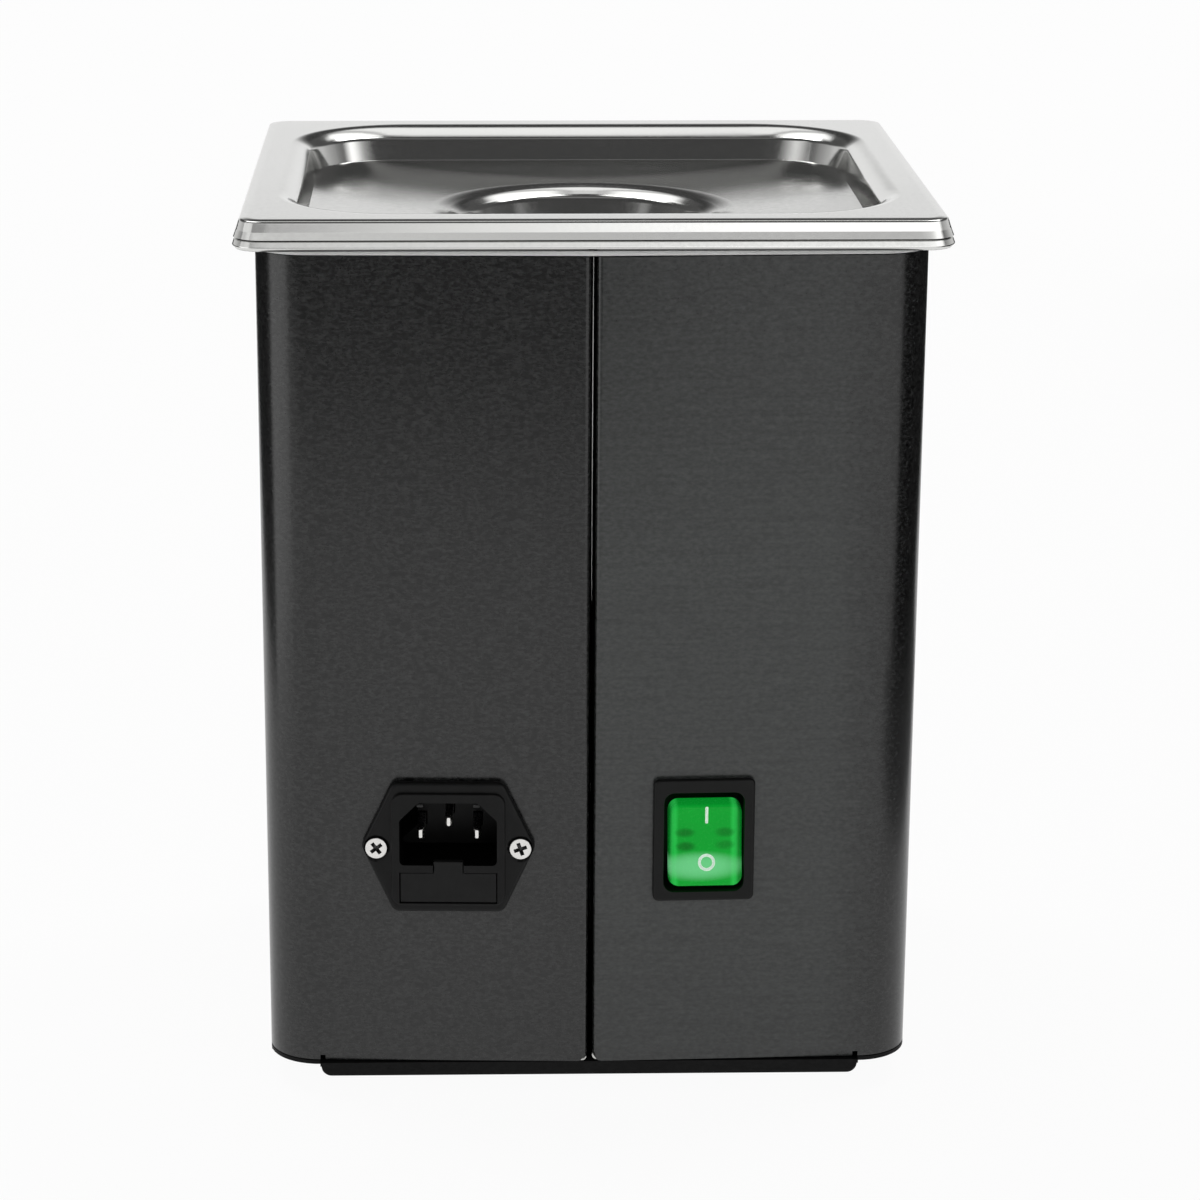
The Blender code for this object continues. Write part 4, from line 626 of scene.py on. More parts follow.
def makeTank():
    s = tankSet
    top, floor = rimHigh.z, rimLow.z + s["sheet"]
    mouthX, mouthY = rimHigh.x - s["land"][0], rimHigh.y - s["land"][1]
    section = [(-s["floorRun"], floor, 0), (-s["taper"], floor, s["floorRound"]), (0, top, s["mouthRound"]),
               (2 * s["mouthRound"], top, 0)]
    bowl = filletPath(section, 14)[:-1]
    rows = [(mouthX + p.x, mouthY + p.x, s["mouthCorner"] + p.x, p.y) for p in bowl]
    section = [(-inset * mm, top - down * mm, rounding * mm) for inset, down, rounding in s["bead"]]
    bead = filletPath([(-s["land"][1], top, 0)] + section, 8, 0.1 * mm)
    rows += [(rimHigh.x + p.x, rimHigh.y + p.x, s["rimCorner"] + p.x, p.y) for p in bead[1:]]
    look = dict(steelLook, rough=(0.12, 0.19), bump=0.04)
    tank = newPiece("tankPressing", pressedSheet(rows, s["sheet"]), makeFinish("tankSteel", look))
    shadeSmooth(tank, 50)
    seat(tank, "housing_body", "tank_steel", "tank")


makeLid()
makeStrap()
makeTank()
print("lid, strap and tank made")


# housing: one sheet wrapped round, its two ends turned in at the back

paintLook = {
    "tones": ((0.001, 0.001, 0.001), (0.030, 0.0306, 0.0303)), "span": (0.36, 0.70), "rough": (0.19, 0.27),
    "cloud": 1150.0, "grain": 1500.0, "stretch": (0.6, 1, 1.05), "bump": 0.22, "depth": 0.03,
    "shader": {"Specular IOR Level": 0.53},
}
bareLook = {"tones": ((0.50, 0.50, 0.48), (0.62, 0.62, 0.60)), "metal": 1.0, "rough": (0.25, 0.4),
            "cloud": 500.0, "grain": 2500.0, "bump": 0.1}
# painted shade: near black, matt and without shine, for deep gaps and hollows
paintedShadeLook = dict(bareLook, tones=((0.002, 0.002, 0.002), (0.004, 0.004, 0.004)), metal=0.0, rough=(0.9, 1.0),
               shader={"Specular IOR Level": 0.0})
halfLightSet = {
    # painted light: how much paler, from the switch side to the inlet side, from the foot up, and from the
    # front to the back
    "across": [(0.05, 0.0), (0.14, 1.0), (0.49, 0.95), (0.5, 0.0)],
    "upward": [(0.0, 0.75), (0.25, 1.0), (0.6, 1.0), (0.95, 0.5)],
    "backward": [(0.55, 0.0), (0.8, 1.0)],
    "tone": (0.026, 0.029, 0.0275),
    "streak": (30, 30, 900),
    "streakSpan": (0.75, 1.25),
}

shellSet = {
    "sheet": 1.0 * mm,
    "corner": 13 * mm,
    "peak": 2.3 * mm,            # the back is a shallow V, highest at the seam
    "seamGap": 1.3 * mm,
    "seamBend": 1.4 * mm,
    "turnIn": 6 * mm,
    "lipMeet": 0.1 * mm,         # the turned-in ends lean together
    "footRound": 2.5 * mm,
    "lipSlack": 0.05 * mm,
    "roundSlack": 0.25 * mm,
    "hem": 12 * mm,
    "hemTaper": 0.6,
    "relief": (1.3 * mm, 1.2 * mm),
    "screwSpan": 96 * mm,
    "screwInset": 6.5 * mm,
    "screwHole": 3.5 * mm,
    "edge": 0.15 * mm,
    # windows in the sheet: width, height, above the middle of their piece, corner
    "inletWindow": (28 * mm, 29.2 * mm, -0.8 * mm, 2.8 * mm),
    "switchWindow": (23 * mm, 27.8 * mm, 0, 1.2 * mm),
    "panelWindow": (106.6 * mm, 54.6 * mm, 0, 3.3 * mm),
    "windowCut": (-2 * mm, 3 * mm),
    # middles of the inlet and the switch: aside, and above the ground; the panel is in the middle
    "inletAt": (35.4 * mm, 67.3 * mm),
    "switchAt": (-28.0 * mm, 68.4 * mm),
    "panelUp": 77.0 * mm,
}
burrSet = {
    "wire": 0.34 * mm,
    "share": 0.8,                # of the rounding at the foot of the seam
    "turns": ((1, -100, -150), (-1, -120, -175)),      # side, from and to in degrees
    "steps": 12,
    "lift": 0.3 * mm,
    "sink": 0.1 * mm,
}
shellLow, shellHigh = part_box("housing_shell")
bodyX, bodyY = shellHigh.x, -shellLow.y
flatX, flatY = bodyX - shellSet["corner"], bodyY - shellSet["corner"]
seamY = bodyY + shellSet["peak"]
lean = atan2(shellSet["peak"], flatX)


def backStation(x, z):
    # a place on the leaning back, its y axis square to the sheet
    turn = Matrix.Rotation(-lean if x > 0 else lean, 4, "Z")
    turn.translation = Vector((x, seamY - abs(x) * tan(lean), z))
    return turn


inletPlace = backStation(*shellSet["inletAt"])
switchPlace = backStation(*shellSet["switchAt"])
panelPlace = Matrix.Translation((0, -bodyY, shellSet["panelUp"]))


def wrapPath():
    s = shellSet
    lip, bend = s["seamGap"] / 2, s["seamBend"]
    right = [(s["lipMeet"], seamY - s["turnIn"])]
    right += arcPoints(lip + bend, seamY - bend, bend, pi, pi / 2 - lean, 8)
    right += arcPoints(flatX, flatY, s["corner"], pi / 2 - lean, 0, 18)
    right += arcPoints(flatX, -flatY, s["corner"], 0, -pi / 2, 18)
    return right + [(-x, y) for x, y in reversed(right)]


def insidePath(path, distance):
    points = [Vector(p) for p in path]
    result = []
    for i, point in enumerate(points):
        ways = []
        if i > 0:
            ways.append((point - points[i - 1]).normalized())
        if i < len(points) - 1:
            ways.append((points[i + 1] - point).normalized())
        sides = [Vector((way.y, -way.x)) for way in ways]
        side = sum(sides, Vector((0, 0))).normalized()
        result.append(tuple(point + side * distance / side.dot(sides[0])))
    return result


def hemPlate(start, end):
    s = shellSet
    start, end = Vector(start), Vector(end)
    way = (end - start).normalized()
    inward = Vector((way.y, -way.x))
    trim, near, far = way * s["relief"][0], inward * s["sheet"] / 2, inward * s["hem"]
    taper = way * s["hem"] * s["hemTaper"]
    outline = [start + trim + near, end - trim + near, end - trim - taper + far, start + trim + taper + far]
    return prism([tuple(p) for p in outline], shellLow.z, shellLow.z + s["sheet"])


def screwPlaces():
    span, row = shellSet["screwSpan"] / 2, bodyY - shellSet["screwInset"]
    return [(sx * span, sy * row) for sx in (-1, 1) for sy in (-1, 1)]


def hemPlates():
    s = shellSet
    seam = s["seamGap"] / 2 + s["seamBend"]
    back = seamY - seam * tan(lean)
    ends = seam + s["footRound"]
    lines = [((ends, back), (flatX, bodyY)), ((bodyX, flatY), (bodyX, -flatY)),
             ((flatX, -bodyY), (-flatX, -bodyY)), ((-bodyX, -flatY), (-bodyX, flatY)),
             ((-flatX, bodyY), (-ends, back))]
    return [hemPlate(*line) for line in lines]


def reliefCuts():
    s = shellSet
    wide, tall = s["relief"]
    low, deep = shellLow.z - s["sheet"], 4 * s["sheet"]
    slots = ((flatX - wide / 2, bodyY, (wide, deep)), (bodyX, flatY - wide / 2, (deep, wide)))
    return [prism(boxOutline(*size, sx * x, sy * y), low, shellLow.z + tall)
            for sx in (-1, 1) for sy in (-1, 1) for x, y, size in slots]


def seamFootCut():
    s = shellSet
    reach = s["seamGap"] / 2 + s["footRound"]
    right = [(reach, shellLow.z - s["sheet"]), (reach, shellLow.z)]
    right += arcPoints(reach, shellLow.z + s["footRound"], s["footRound"], -pi / 2, -pi, 8)[1:]
    outline = right + [(-x, z) for x, z in reversed(right)]
    return prism(outline, seamY - s["turnIn"] - s["sheet"], seamY + s["sheet"], "Y")


def placed(bm, place):
    bmesh.ops.transform(bm, matrix=place, verts=bm.verts)
    return bm


def makeShell():
    s = shellSet
    path = wrapPath()
    outline = path + list(reversed(insidePath(path, s["sheet"])))
    paint, bare = makeFinish("blackPaint", paintLook), makeFinish("bareEdge", bareLook)
    # the back half with the switch is painted a little paler: painted light
    paintHalfLight(paint)
    # painted shade for the turned-in lips inside the seam
    inside = makeFinish("lipShade", paintedShadeLook)
    shell = newPiece("wrapShell", prism(outline, shellLow.z, shellHigh.z), paint, bare, inside)
    cuts = reliefCuts()
    for name, place in (("inlet", inletPlace), ("switch", switchPlace), ("panel", panelPlace)):
        wide, tall, rise, corner = s[name + "Window"]
        window = roundedOutline(boxOutline(wide, tall, 0, rise), corner)
        cuts.append(placed(prism(window, *s["windowCut"], "Y"), place))
    for x, y in screwPlaces():
        hole = circleOutline(s["screwHole"], 16, x, y)
        cuts.append(prism(hole, shellLow.z - mm, shellLow.z + 2 * mm))
    shapePiece(shell, [merged(hemPlates())], [merged(cuts), seamFootCut()], s["edge"], 55, 2)
    bareFootAndLipShade(shell)
    seat(shell, "housing_body", "housing_paint", "housing_shell")
    makeSeamBurr(bare)


def makeSeamBurr(bare):
    # a bright rolled burr along both cut corners at the foot of the seam
    s = burrSet
    bend = shellSet["footRound"] * s["share"]
    reach = shellSet["seamGap"] / 2 + bend
    back, level = seamY - s["sink"], shellLow.z + bend + s["lift"]
    parts = []
    for side, start, end in s["turns"]:
        rings = []
        for i in range(s["steps"] + 1):
            share = i / s["steps"]
            turn = radians(start + (end - start) * share)
            thick = s["wire"] * sin(pi * (0.08 + 0.84 * share))
            ring = []
            for u, v in circleOutline(2 * thick, 10):
                x = side * (reach + (bend + u) * cos(turn))
                ring.append(Vector((x, back + v, level + (bend + u) * sin(turn))))
            rings.append(ring)
        parts.append(loft(rings))
    burr = newPiece("seamBurr", merged(parts), bare)
    shadeSmooth(burr, 60)
    seat(burr, "housing_body", "housing_paint")


def paintHalfLight(paint):
    # painted light: the back half with the switch is a little paler, as its leaning sheet catches more
    # light, laid on in faint level streaks, less at the foot and near the top
    s = halfLightSet
    tree = paint.node_tree
    shader = tree.nodes["Principled BSDF"]
    tones = shader.inputs["Base Color"].links[0].from_socket
    place, axes = objectPlace(tree)
    streakPlace = addNode(tree, "ShaderNodeMapping", {"Scale": s["streak"]}, {"Vector": place}).outputs["Vector"]
    streak = addNode(tree, "ShaderNodeTexNoise", {"Scale": 1.0, "Detail": 3.0}, {"Vector": streakPlace})
    share = rangeNode(tree, streak.outputs["Fac"], 0.3, 0.7, *s["streakSpan"])
    ranges = (("X", s["across"], -bodyX, bodyX), ("Y", s["backward"], -bodyY, bodyY),
              ("Z", s["upward"], shellLow.z, shellHigh.z))
    for axis, stops, low, high in ranges:
        part = rangeNode(tree, axes[axis], low, high)
        shade = rampNode(tree, part, [(at, (value,) * 3) for at, value in stops])
        share = mathNode(tree, "MULTIPLY", share, shade)
    # the painted light, added to the paint's own tones
    lightLayer = mixNode(tree, share, (0, 0, 0, 1), (*s["tone"], 1))
    tree.links.new(mixNode(tree, 1.0, tones, lightLayer, "ADD"), shader.inputs["Base Color"])


def bareFootAndLipShade(shell):
    # the cut edge round the foot of the seam has no paint; the turned-in lips deep in the seam get painted
    # shade, near black and without shine
    s = shellSet
    half, deepest = s["seamGap"] / 2, seamY - s["turnIn"] - s["sheet"]
    reach, level = half + s["footRound"], shellLow.z + s["footRound"]
    for face in shell.data.polygons:
        x, y, z = abs(face.center.x), face.center.y, face.center.z
        if x < half + s["lipSlack"] and deepest < y < seamY - s["seamBend"]:
            face.material_index = 2
        offRound = abs(Vector((x - reach, z - level)).length - s["footRound"])
        onFoot = offRound < s["roundSlack"] and z < level and x < reach
        if onFoot and y > deepest and abs(face.normal.y) < 0.8:
            face.material_index = 1


trimSet = {
    "corner": 12.6 * mm,
    "proud": 0.25 * mm,          # outside the housing
    "width": 3.2 * mm,
    "edgeRound": 0.3 * mm,
    "groove": (1.6 * mm, 1.05 * mm),     # deep and high, under the rim
    "look": {"tones": ((0.74, 0.74, 0.73), (0.80, 0.80, 0.79)), "rough": (0.3, 0.42), "cloud": 30.0,
             "grain": 1500.0, "bump": 0.08},
}


def makeTrim():
    # a pale strip between the housing and the rim
    s = trimSet
    low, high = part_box("rim_seal")
    halfX, back, front = bodyX + s["proud"], seamY + s["proud"], -bodyY - s["proud"]
    edge, (deep, tall) = s["edgeRound"], s["groove"]

    def loop(inset, z):
        side, near, far = halfX - inset, front + inset, bodyY + s["proud"] - inset
        corners = [(-side, near), (side, near), (side, far), (0, back - inset), (-side, far)]
        return [Vector((x, y, z)) for x, y in roundedOutline(corners, max(s["corner"] - inset, mm), 10)]

    ledge = high.z - tall
    bends = [radians(t) for t in (0, 30, 60, 90)]
    section = [(edge * (1 - sin(t)), low.z + edge * (1 - cos(t))) for t in bends]
    section += [(edge * (1 - cos(t)), ledge - edge * (1 - sin(t))) for t in bends]
    section += [(deep, ledge), (deep, high.z), (s["width"], high.z), (s["width"], low.z)]
    strip = loft([loop(*point) for point in section], closed=True)
    trim = newPiece("rimTrim", strip, makeFinish("trimGrey", s["look"]))
    shadeSmooth(trim, 40)
    seat(trim, "housing_body", "seal_grey", "rim_seal")


baseSet = {
    "sheet": 1.0 * mm,
    "ground": 5 * mm,
    "skirtRound": 2.6 * mm,
    "backProud": 1.7 * mm,
    "gap": 0.3 * mm,
    "footHole": 6.4 * mm,
    "footInset": (23 * mm, 21.5 * mm),
    "edge": 0.3 * mm,
}
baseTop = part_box("base_plate")[1].z
baseUnder = baseTop - baseSet["sheet"]
baseSeat = baseUnder - baseSet["gap"]      # feet and screw heads stop here


def footPlaces():
    fx, fy = bodyX - baseSet["footInset"][0], bodyY - baseSet["footInset"][1]
    return [(sx * fx, sy * fy) for sx in (-1, 1) for sy in (-1, 1)]


def skirtPlate(length, along, offset, side, top):
    s = baseSet
    half, level = length / 2, s["ground"] + s["skirtRound"]
    outline = arcPoints(s["skirtRound"] - half, level, s["skirtRound"], pi, 1.5 * pi, 8)
    outline += arcPoints(half - s["skirtRound"], level, s["skirtRound"], 1.5 * pi, 2 * pi, 8)
    outline += [(half, top), (-half, top)]
    low, high = sorted((offset, offset - side * s["sheet"]))
    return prism(outline, low, high, along)


def makeBase():
    s = baseSet
    back = bodyY + s["backProud"]
    half = arcPoints(flatX, -flatY, shellSet["corner"], -pi / 2, 0, 12)
    half += arcPoints(flatX, flatY, shellSet["corner"], 0, pi / 2, 12) + [(flatX, back)]
    outline = half + [(-x, y) for x, y in reversed(half)]
    look = dict(paintLook, tones=((0.003, 0.003, 0.003), (0.009, 0.009, 0.009)), rough=(0.5, 0.6),
                shader={"Specular IOR Level": 0.12})
    tray = newPiece("baseTray", prism(outline, baseUnder, baseTop), makeFinish("basePaint", look))
    long, short = 2 * (flatX - s["gap"]), 2 * (flatY - s["gap"])
    middle = baseUnder + s["sheet"] / 2
    skirts = [skirtPlate(long, "Y", back, 1, middle), skirtPlate(long, "Y", -bodyY, -1, middle),
              skirtPlate(short, "X", bodyX, 1, middle), skirtPlate(short, "X", -bodyX, -1, middle)]
    rings = [circleOutline(shellSet["screwHole"], 16, x, y) for x, y in screwPlaces()]
    rings += [circleOutline(s["footHole"], 24, x, y) for x, y in footPlaces()]
    holes = [prism(ring, baseUnder - mm, baseTop + mm) for ring in rings]
    shapePiece(tray, [merged(skirts)], [merged(holes)], s["edge"], 55, 3)
    seat(tray, "housing_body", "base_paint", "base_plate")


footSet = {
    "diameter": 15 * mm,
    "taper": 1 * mm,
    "stem": 5.8 * mm,
    "barb": 7.4 * mm,
    "hollow": (3.4 * mm, 0.6 * mm),
    "look": {"tones": ((0.018, 0.018, 0.018), (0.034, 0.034, 0.033)), "rough": (0.68, 0.85), "cloud": 300.0,
             "grain": 3000.0, "bump": 0.25},
}


def makeFeet():
    s = footSet
    finish = makeFinish("footRubber", s["look"])
    top, catch = baseSeat, baseTop + baseSet["gap"]
    radius, taper, stem, barb = s["diameter"] / 2, s["taper"], s["stem"] / 2, s["barb"] / 2
    hollow, deep = s["hollow"]
    section = [(hollow * 0.8, deep), (hollow, 0), (radius - 1.5 * taper, 0),
               (radius - 1.15 * taper, 0.15 * taper), (radius - taper, taper / 2), (radius, top - taper),
               (radius - 0.15 * taper, top - 0.3 * taper), (radius - taper / 2, top), (stem, top),
               (stem, catch), (barb, catch), (stem - taper / 2, catch + barb)]
    for number, (x, y) in enumerate(footPlaces(), 1):
        place = Matrix.Translation((x, y, 0))
        foot = newPiece(f"rubberFoot{number}", turnedBody(section, 40), finish, place=place)
        shadeSmooth(foot, 40)
        seat(foot, "housing_body", "foot_rubber", f"foot_{number}")


screwSet = {
    "head": 5.4 * mm,
    "headEdge": 0.3 * mm,
    "edgeBreak": 0.08 * mm,
    "panHeight": 1.8 * mm,
    "panFlat": 0.4,              # shares of the head that the dome leaves flat and upright
    "panWall": 0.45,
    "shank": 2.9 * mm,
    "inletLong": 7.4 * mm,
    "inletRolls": (20, 38),      # how far each was turned, in degrees
    "recessArm": (3.3 * mm, 0.95 * mm),
    "recessDeep": 1.5 * mm,
    "recessShares": (0.45, 1.1),     # how long at the bottom and just above the head
    "recessOver": 0.2 * mm,
    "recessSlack": 0.1 * mm,
    "look": {"tones": ((0.74, 0.73, 0.71), (0.82, 0.81, 0.79)), "metal": 1.0, "rough": (0.24, 0.34),
             "cloud": 700.0, "grain": 3000.0, "bump": 0.08},
}


def crossRecess(top):
    # two crossed wedges, narrower at the bottom
    s = screwSet
    long, wide = s["recessArm"]
    bottom, above = s["recessShares"]
    arms = []
    for across in (False, True):
        rings = []
        for y, share in ((top - s["recessDeep"], bottom), (top + s["recessOver"], above)):
            ring = boxOutline(long * share, wide * (0.6 + 0.4 * share))
            rings.append([Vector((v, y, u) if across else (u, y, v)) for u, v in ring])
        arms.append(loft(rings))
    return arms


def shadeRecess(screw, top):
    # painted shade in the cross recess
    s = screwSet
    look = dict(s["look"], tones=((0.02,) * 3, (0.05,) * 3), metal=0.0)
    screw.data.materials.append(makeFinish("recessShade", look))
    reach, high = s["recessArm"][0] / 2, top - s["recessSlack"]
    low = top - s["recessDeep"] - s["recessSlack"]
    for face in screw.data.polygons:
        x, y, z = face.center
        if Vector((x, z)).length < reach and low < y < high:
            face.material_index = 1


def makeScrews():
    s = screwSet
    finish = makeFinish("nickelPlate", s["look"])
    head, shank, edge, cut = s["head"] / 2, s["shank"] / 2, s["headEdge"], s["edgeBreak"]
    section = [(shank, -s["inletLong"]), (shank, -edge - head + shank), (head, -edge), (head, -cut),
               (head - cut, 0)]
    front = inletSet["fit"] + inletSet["flange"]
    for number, (side, roll) in enumerate(zip((-1, 1), s["inletRolls"]), 1):
        spot = Matrix.Translation((side * inletSet["screwPitch"] / 2, front, -inletSet["screwDrop"]))
        place = inletPlace @ spot @ Matrix.Rotation(radians(roll), 4, "Y")
        screw = newPiece(f"inletScrew{number}", turnedBody(section, 40, "Y"), finish, place=place)
        shapePiece(screw, (), crossRecess(0), smooth=30)
        shadeRecess(screw, 0)
        seat(screw, "housing_body", "screw_metal", f"inlet_screw_{number}")
    rise, length = s["panHeight"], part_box("base_screw_1")[1].z - baseSeat
    bends = [radians(t) for t in (0, 20, 40, 60, 80)]
    section = [(shank, -length), (shank, 0), (head, 0)]
    flat, wall = s["panFlat"], s["panWall"]
    section += [(head * (flat + (1 - flat) * cos(t)), rise * (wall + (1 - wall) * sin(t))) for t in bends]
    for number, (x, y) in enumerate(screwPlaces(), 1):
        place = Matrix.Translation((x, y, baseSeat)) @ Matrix.Rotation(-pi / 2, 4, "X")
        screw = newPiece(f"baseScrew{number}", turnedBody(section, 32, "Y"), finish, place=place)
        shapePiece(screw, (), crossRecess(rise), smooth=30)
        shadeRecess(screw, rise)
        seat(screw, "housing_body", "screw_metal", f"base_screw_{number}")


makeShell()
makeTrim()
makeBase()
makeFeet()
print("housing, trim, base and feet made")


# mains inlet with its fuse drawer

mouldLook = {
    "tones": ((0.004, 0.004, 0.004), (0.007, 0.007, 0.007)), "rough": (0.36, 0.46), "cloud": 260.0,
    "grain": 2600.0, "bump": 0.12, "depth": 0.03, "shader": {"Specular IOR Level": 0.18},
}

inletSet = {
    "half": 21.65 * mm,          # middle to the side points
    "height": 33.4 * mm,
    "lower": 0.6 * mm,           # the lower edge sits a little further down
    "topEdge": 27.4 * mm,
    "flange": 2.4 * mm,
    "flangeEdge": 0.9 * mm,
    "neck": (27.4 * mm, 28.6 * mm, -0.8 * mm),
    "frame": (28.2 * mm, 29.4 * mm, -0.55 * mm),
    "frameProud": 1.0 * mm,
    "depth": 22 * mm,
    "socket": (24.2 * mm, 16.4 * mm, 3.6 * mm),
    "socketDeep": 16.5 * mm,
    "chamfer": 4.7 * mm,
    "screwPitch": 35.8 * mm,
    "screwHole": 3.5 * mm,
    "screwDrop": 0.5 * mm,
    "sink": 7.0 * mm,
    "nub": (1.7 * mm, 0.9 * mm),
    "nubAt": (7.0 * mm, 10.8 * mm),
    "nubDeep": (5 * mm, 0.9 * mm),       # behind the face, from and to
    "nubCorner": 0.25 * mm,
    "nubEdge": 0.2 * mm,
    "pins": {"live": (7.0 * mm, 2.1 * mm), "neutral": (-7.0 * mm, 2.1 * mm), "earth": (0.0, 5.3 * mm)},
    "pinSize": (1.8 * mm, 3.1 * mm),
    "pinCorner": 0.3 * mm,
    "pinTip": [(0.9 * mm, 0), (0.35 * mm, 0.22 * mm), (0, 0.5 * mm)],     # behind the tip, in from the sides
    "pinBelow": 4.5 * mm,
    "pinTail": 7 * mm,
    "fit": 0.3 * mm,
    "slide": 0.13 * mm,
    "wallSlack": 0.05 * mm,
    "blockEdge": 0.35 * mm,
    "cutEdge": 0.12 * mm,
}
inletFace = inletSet["fit"] + inletSet["flange"] + inletSet["frameProud"]


def socketOutline():
    wide, tall, rise = inletSet["socket"]
    hx, low, high, cut = wide / 2, rise - tall / 2, rise + tall / 2, inletSet["chamfer"]
    corners = [(-hx, low), (hx, low), (hx, high - cut), (hx - cut, high), (cut - hx, high),
               (-hx, high - cut)]
    return roundedOutline(corners, cut * 0.25, 4)


drawerSet = {
    "width": 24.1 * mm,
    "height": 7.9 * mm,
    "low": 10.6 * mm,            # drawer middle below the inlet's
    "deep": 16.5 * mm,
    "face": 1.8 * mm,
    "tab": (7.4 * mm, 3.0 * mm),
    "edge": 0.32 * mm,
    "fuse": (5.2 * mm, 20 * mm),
    "fuseCap": 0.27,             # share of the fuse's length
    "fuseNeck": 0.88,            # the glass is a little thinner than the caps
    "fuseRound": (0.5 * mm, 0.15 * mm),
    "look": dict(mouldLook, tones=((0.006, 0.006, 0.006), (0.010, 0.010, 0.010)), rough=(0.34, 0.46)),
}


def drawerOutline(gap):
    s = drawerSet
    hx, hz, tab = s["width"] / 2 + gap, s["height"] / 2 + gap, s["tab"][0] / 2 + gap
    foot, top = -hz - s["low"], hz - s["low"]
    rise = top + s["tab"][1]
    right = [(hx, foot), (hx, top), (tab, top), (tab, rise)]
    return [(-hx, foot)] + right + [(-x, z) for x, z in reversed(right[1:])]


def makeInlet():
    s, d = inletSet, drawerSet
    half, edge = s["height"] / 2, s["topEdge"] / 2
    foot = -half - s["lower"]
    corners = [(-edge, foot), (edge, foot), (s["half"], 0), (edge, half), (-edge, half), (-s["half"], 0)]
    front = s["fit"] + s["flange"]
    flange = prism(roundedOutline(corners, s["flange"]), s["fit"], front, "Y")
    body = newPiece("inletHousing", flange, makeFinish("inletPlastic", mouldLook), place=inletPlace)
    shapePiece(body, edge=s["flangeEdge"], segments=4)
    blocks = []
    for name, low, high in (("neck", -s["depth"], front - mm), ("frame", front - mm, inletFace)):
        wide, tall, drop = s[name]
        outline = roundedOutline(boxOutline(wide, tall, 0, drop), s["chamfer"] * 0.6)
        blocks.append(prism(outline, low, high, "Y"))
    shapePiece(body, blocks, (), s["blockEdge"], 60, 3)
    floor, gap = inletFace - s["socketDeep"], s["slide"]
    pocket = boxOutline(d["width"] + 2 * gap, d["height"] + 2 * gap, 0, -d["low"])
    cuts = [prism(socketOutline(), floor, inletFace + mm, "Y"),
            prism(drawerOutline(gap), inletFace - d["face"] - gap, inletFace + mm, "Y"),
            prism(pocket, inletFace - d["deep"] - gap, inletFace - d["face"], "Y")]
    for x, z in s["pins"].values():
        slot = boxOutline(s["pinSize"][0] + 2 * s["fit"], s["pinSize"][1] + 2 * s["fit"], x, z)
        cuts.append(prism(slot, -s["depth"] - mm, floor + mm, "Y"))
    hole, sink = s["screwHole"] / 2, s["sink"] / 2
    for side in (-1, 1):
        cone = turnedBody([(hole, -s["flange"] - mm), (hole, hole - sink), (sink, 0), (sink, mm)], 40, "Y")
        cuts.append(moved(cone, side * s["screwPitch"] / 2, front, -s["screwDrop"]))
    shapePiece(body, (), cuts, s["cutEdge"], 50, 2)
    shadeSocket(body)
    seat(body, "housing_body", "inlet_plastic", "inlet_body")
    # the nubs are lighter than the moulding: painted highlight
    makeNubs(makeFinish("nubHighlight", dict(mouldLook, tones=((0.03, 0.03, 0.03), (0.045, 0.045, 0.045)))))


def shadeSocket(body):
    # the deep walls of the socket get painted shade: near black and without shine
    s = inletSet
    body.data.materials.append(makeFinish("socketShade", paintedShadeLook))
    wide, tall, rise = s["socket"]
    hx, hz = wide / 2 + s["wallSlack"], tall / 2 + s["wallSlack"]
    for face in body.data.polygons:
        x, y, z = face.center
        deep = inletFace - y
        if abs(x) < hx and abs(z - rise) < hz and s["frameProud"] + s["fit"] < deep < s["socketDeep"]:
            face.material_index = 1


def makeNubs(finish):
    # two small stops under the upper corners of the socket, paler than the moulding as painted highlight for
    # the light they catch
    s = inletSet
    x, z = s["nubAt"]
    low, high = (inletFace - down for down in s["nubDeep"])
    for number, side in enumerate((-1, 1), 1):
        outline = roundedOutline(boxOutline(*s["nub"], side * x, z), s["nubCorner"], 4)
        nub = newPiece(f"socketNub{number}", prism(outline, low, high, "Y"), finish, place=inletPlace)
        shapePiece(nub, edge=s["nubEdge"])
        seat(nub, "housing_body", "inlet_plastic")


def makePins():
    s = inletSet
    finish = makeFinish("pinPlate", dict(screwSet["look"], rough=(0.2, 0.3)))
    wide, tall = s["pinSize"]
    tip, tail = inletFace - s["pinBelow"], -s["depth"] - s["pinTail"]
    stations = [(tail, 0)] + [(tip - back, shrink) for back, shrink in s["pinTip"]]
    for name, (x, z) in s["pins"].items():
        rings = []
        for y, shrink in stations:
            ring = roundedOutline(boxOutline(wide - 2 * shrink, tall - 2 * shrink, x, z), s["pinCorner"], 4)
            rings.append([Vector((u, y, v)) for u, v in ring])
        pin = newPiece(f"inletPin.{name}", loft(rings), finish, place=inletPlace)
        shadeSmooth(pin, 30)
        seat(pin, "housing_body", "pin_metal", f"inlet_pin_{name}")


def makeDrawer():
    s, fit = drawerSet, inletSet["fit"]
    face = inletFace - fit
    drawer = newPiece("fuseDrawer", prism(drawerOutline(0), face - s["face"], face, "Y"),
                      makeFinish("drawerPlastic", s["look"]), place=inletPlace)
    tray = boxOutline(s["width"], s["height"], 0, -s["low"])
    block = prism(tray, face - s["deep"] + fit, face - s["face"] / 2, "Y")
    size, length = s["fuse"]
    room = size + 2 * fit
    deep, level = inletFace - s["face"] - size, fuseLevel()
    top = s["height"] - s["low"]
    slot = arcPoints(deep, level, room / 2, pi, 2 * pi, 16)
    slot = [(deep - room / 2, top)] + slot + [(deep + room / 2, top)]
    half = length / 2 + fit
    shapePiece(drawer, [block], [prism(slot, -half, half, "X")], s["edge"], 50, 3)
    seat(drawer, "drawer_body", "drawer_plastic", "fuse_drawer")


def fuseLevel():
    s = drawerSet
    return -s["low"] - s["height"] / 2 + s["fuse"][0] / 2 + 2 * inletSet["slide"] + inletSet["fit"]


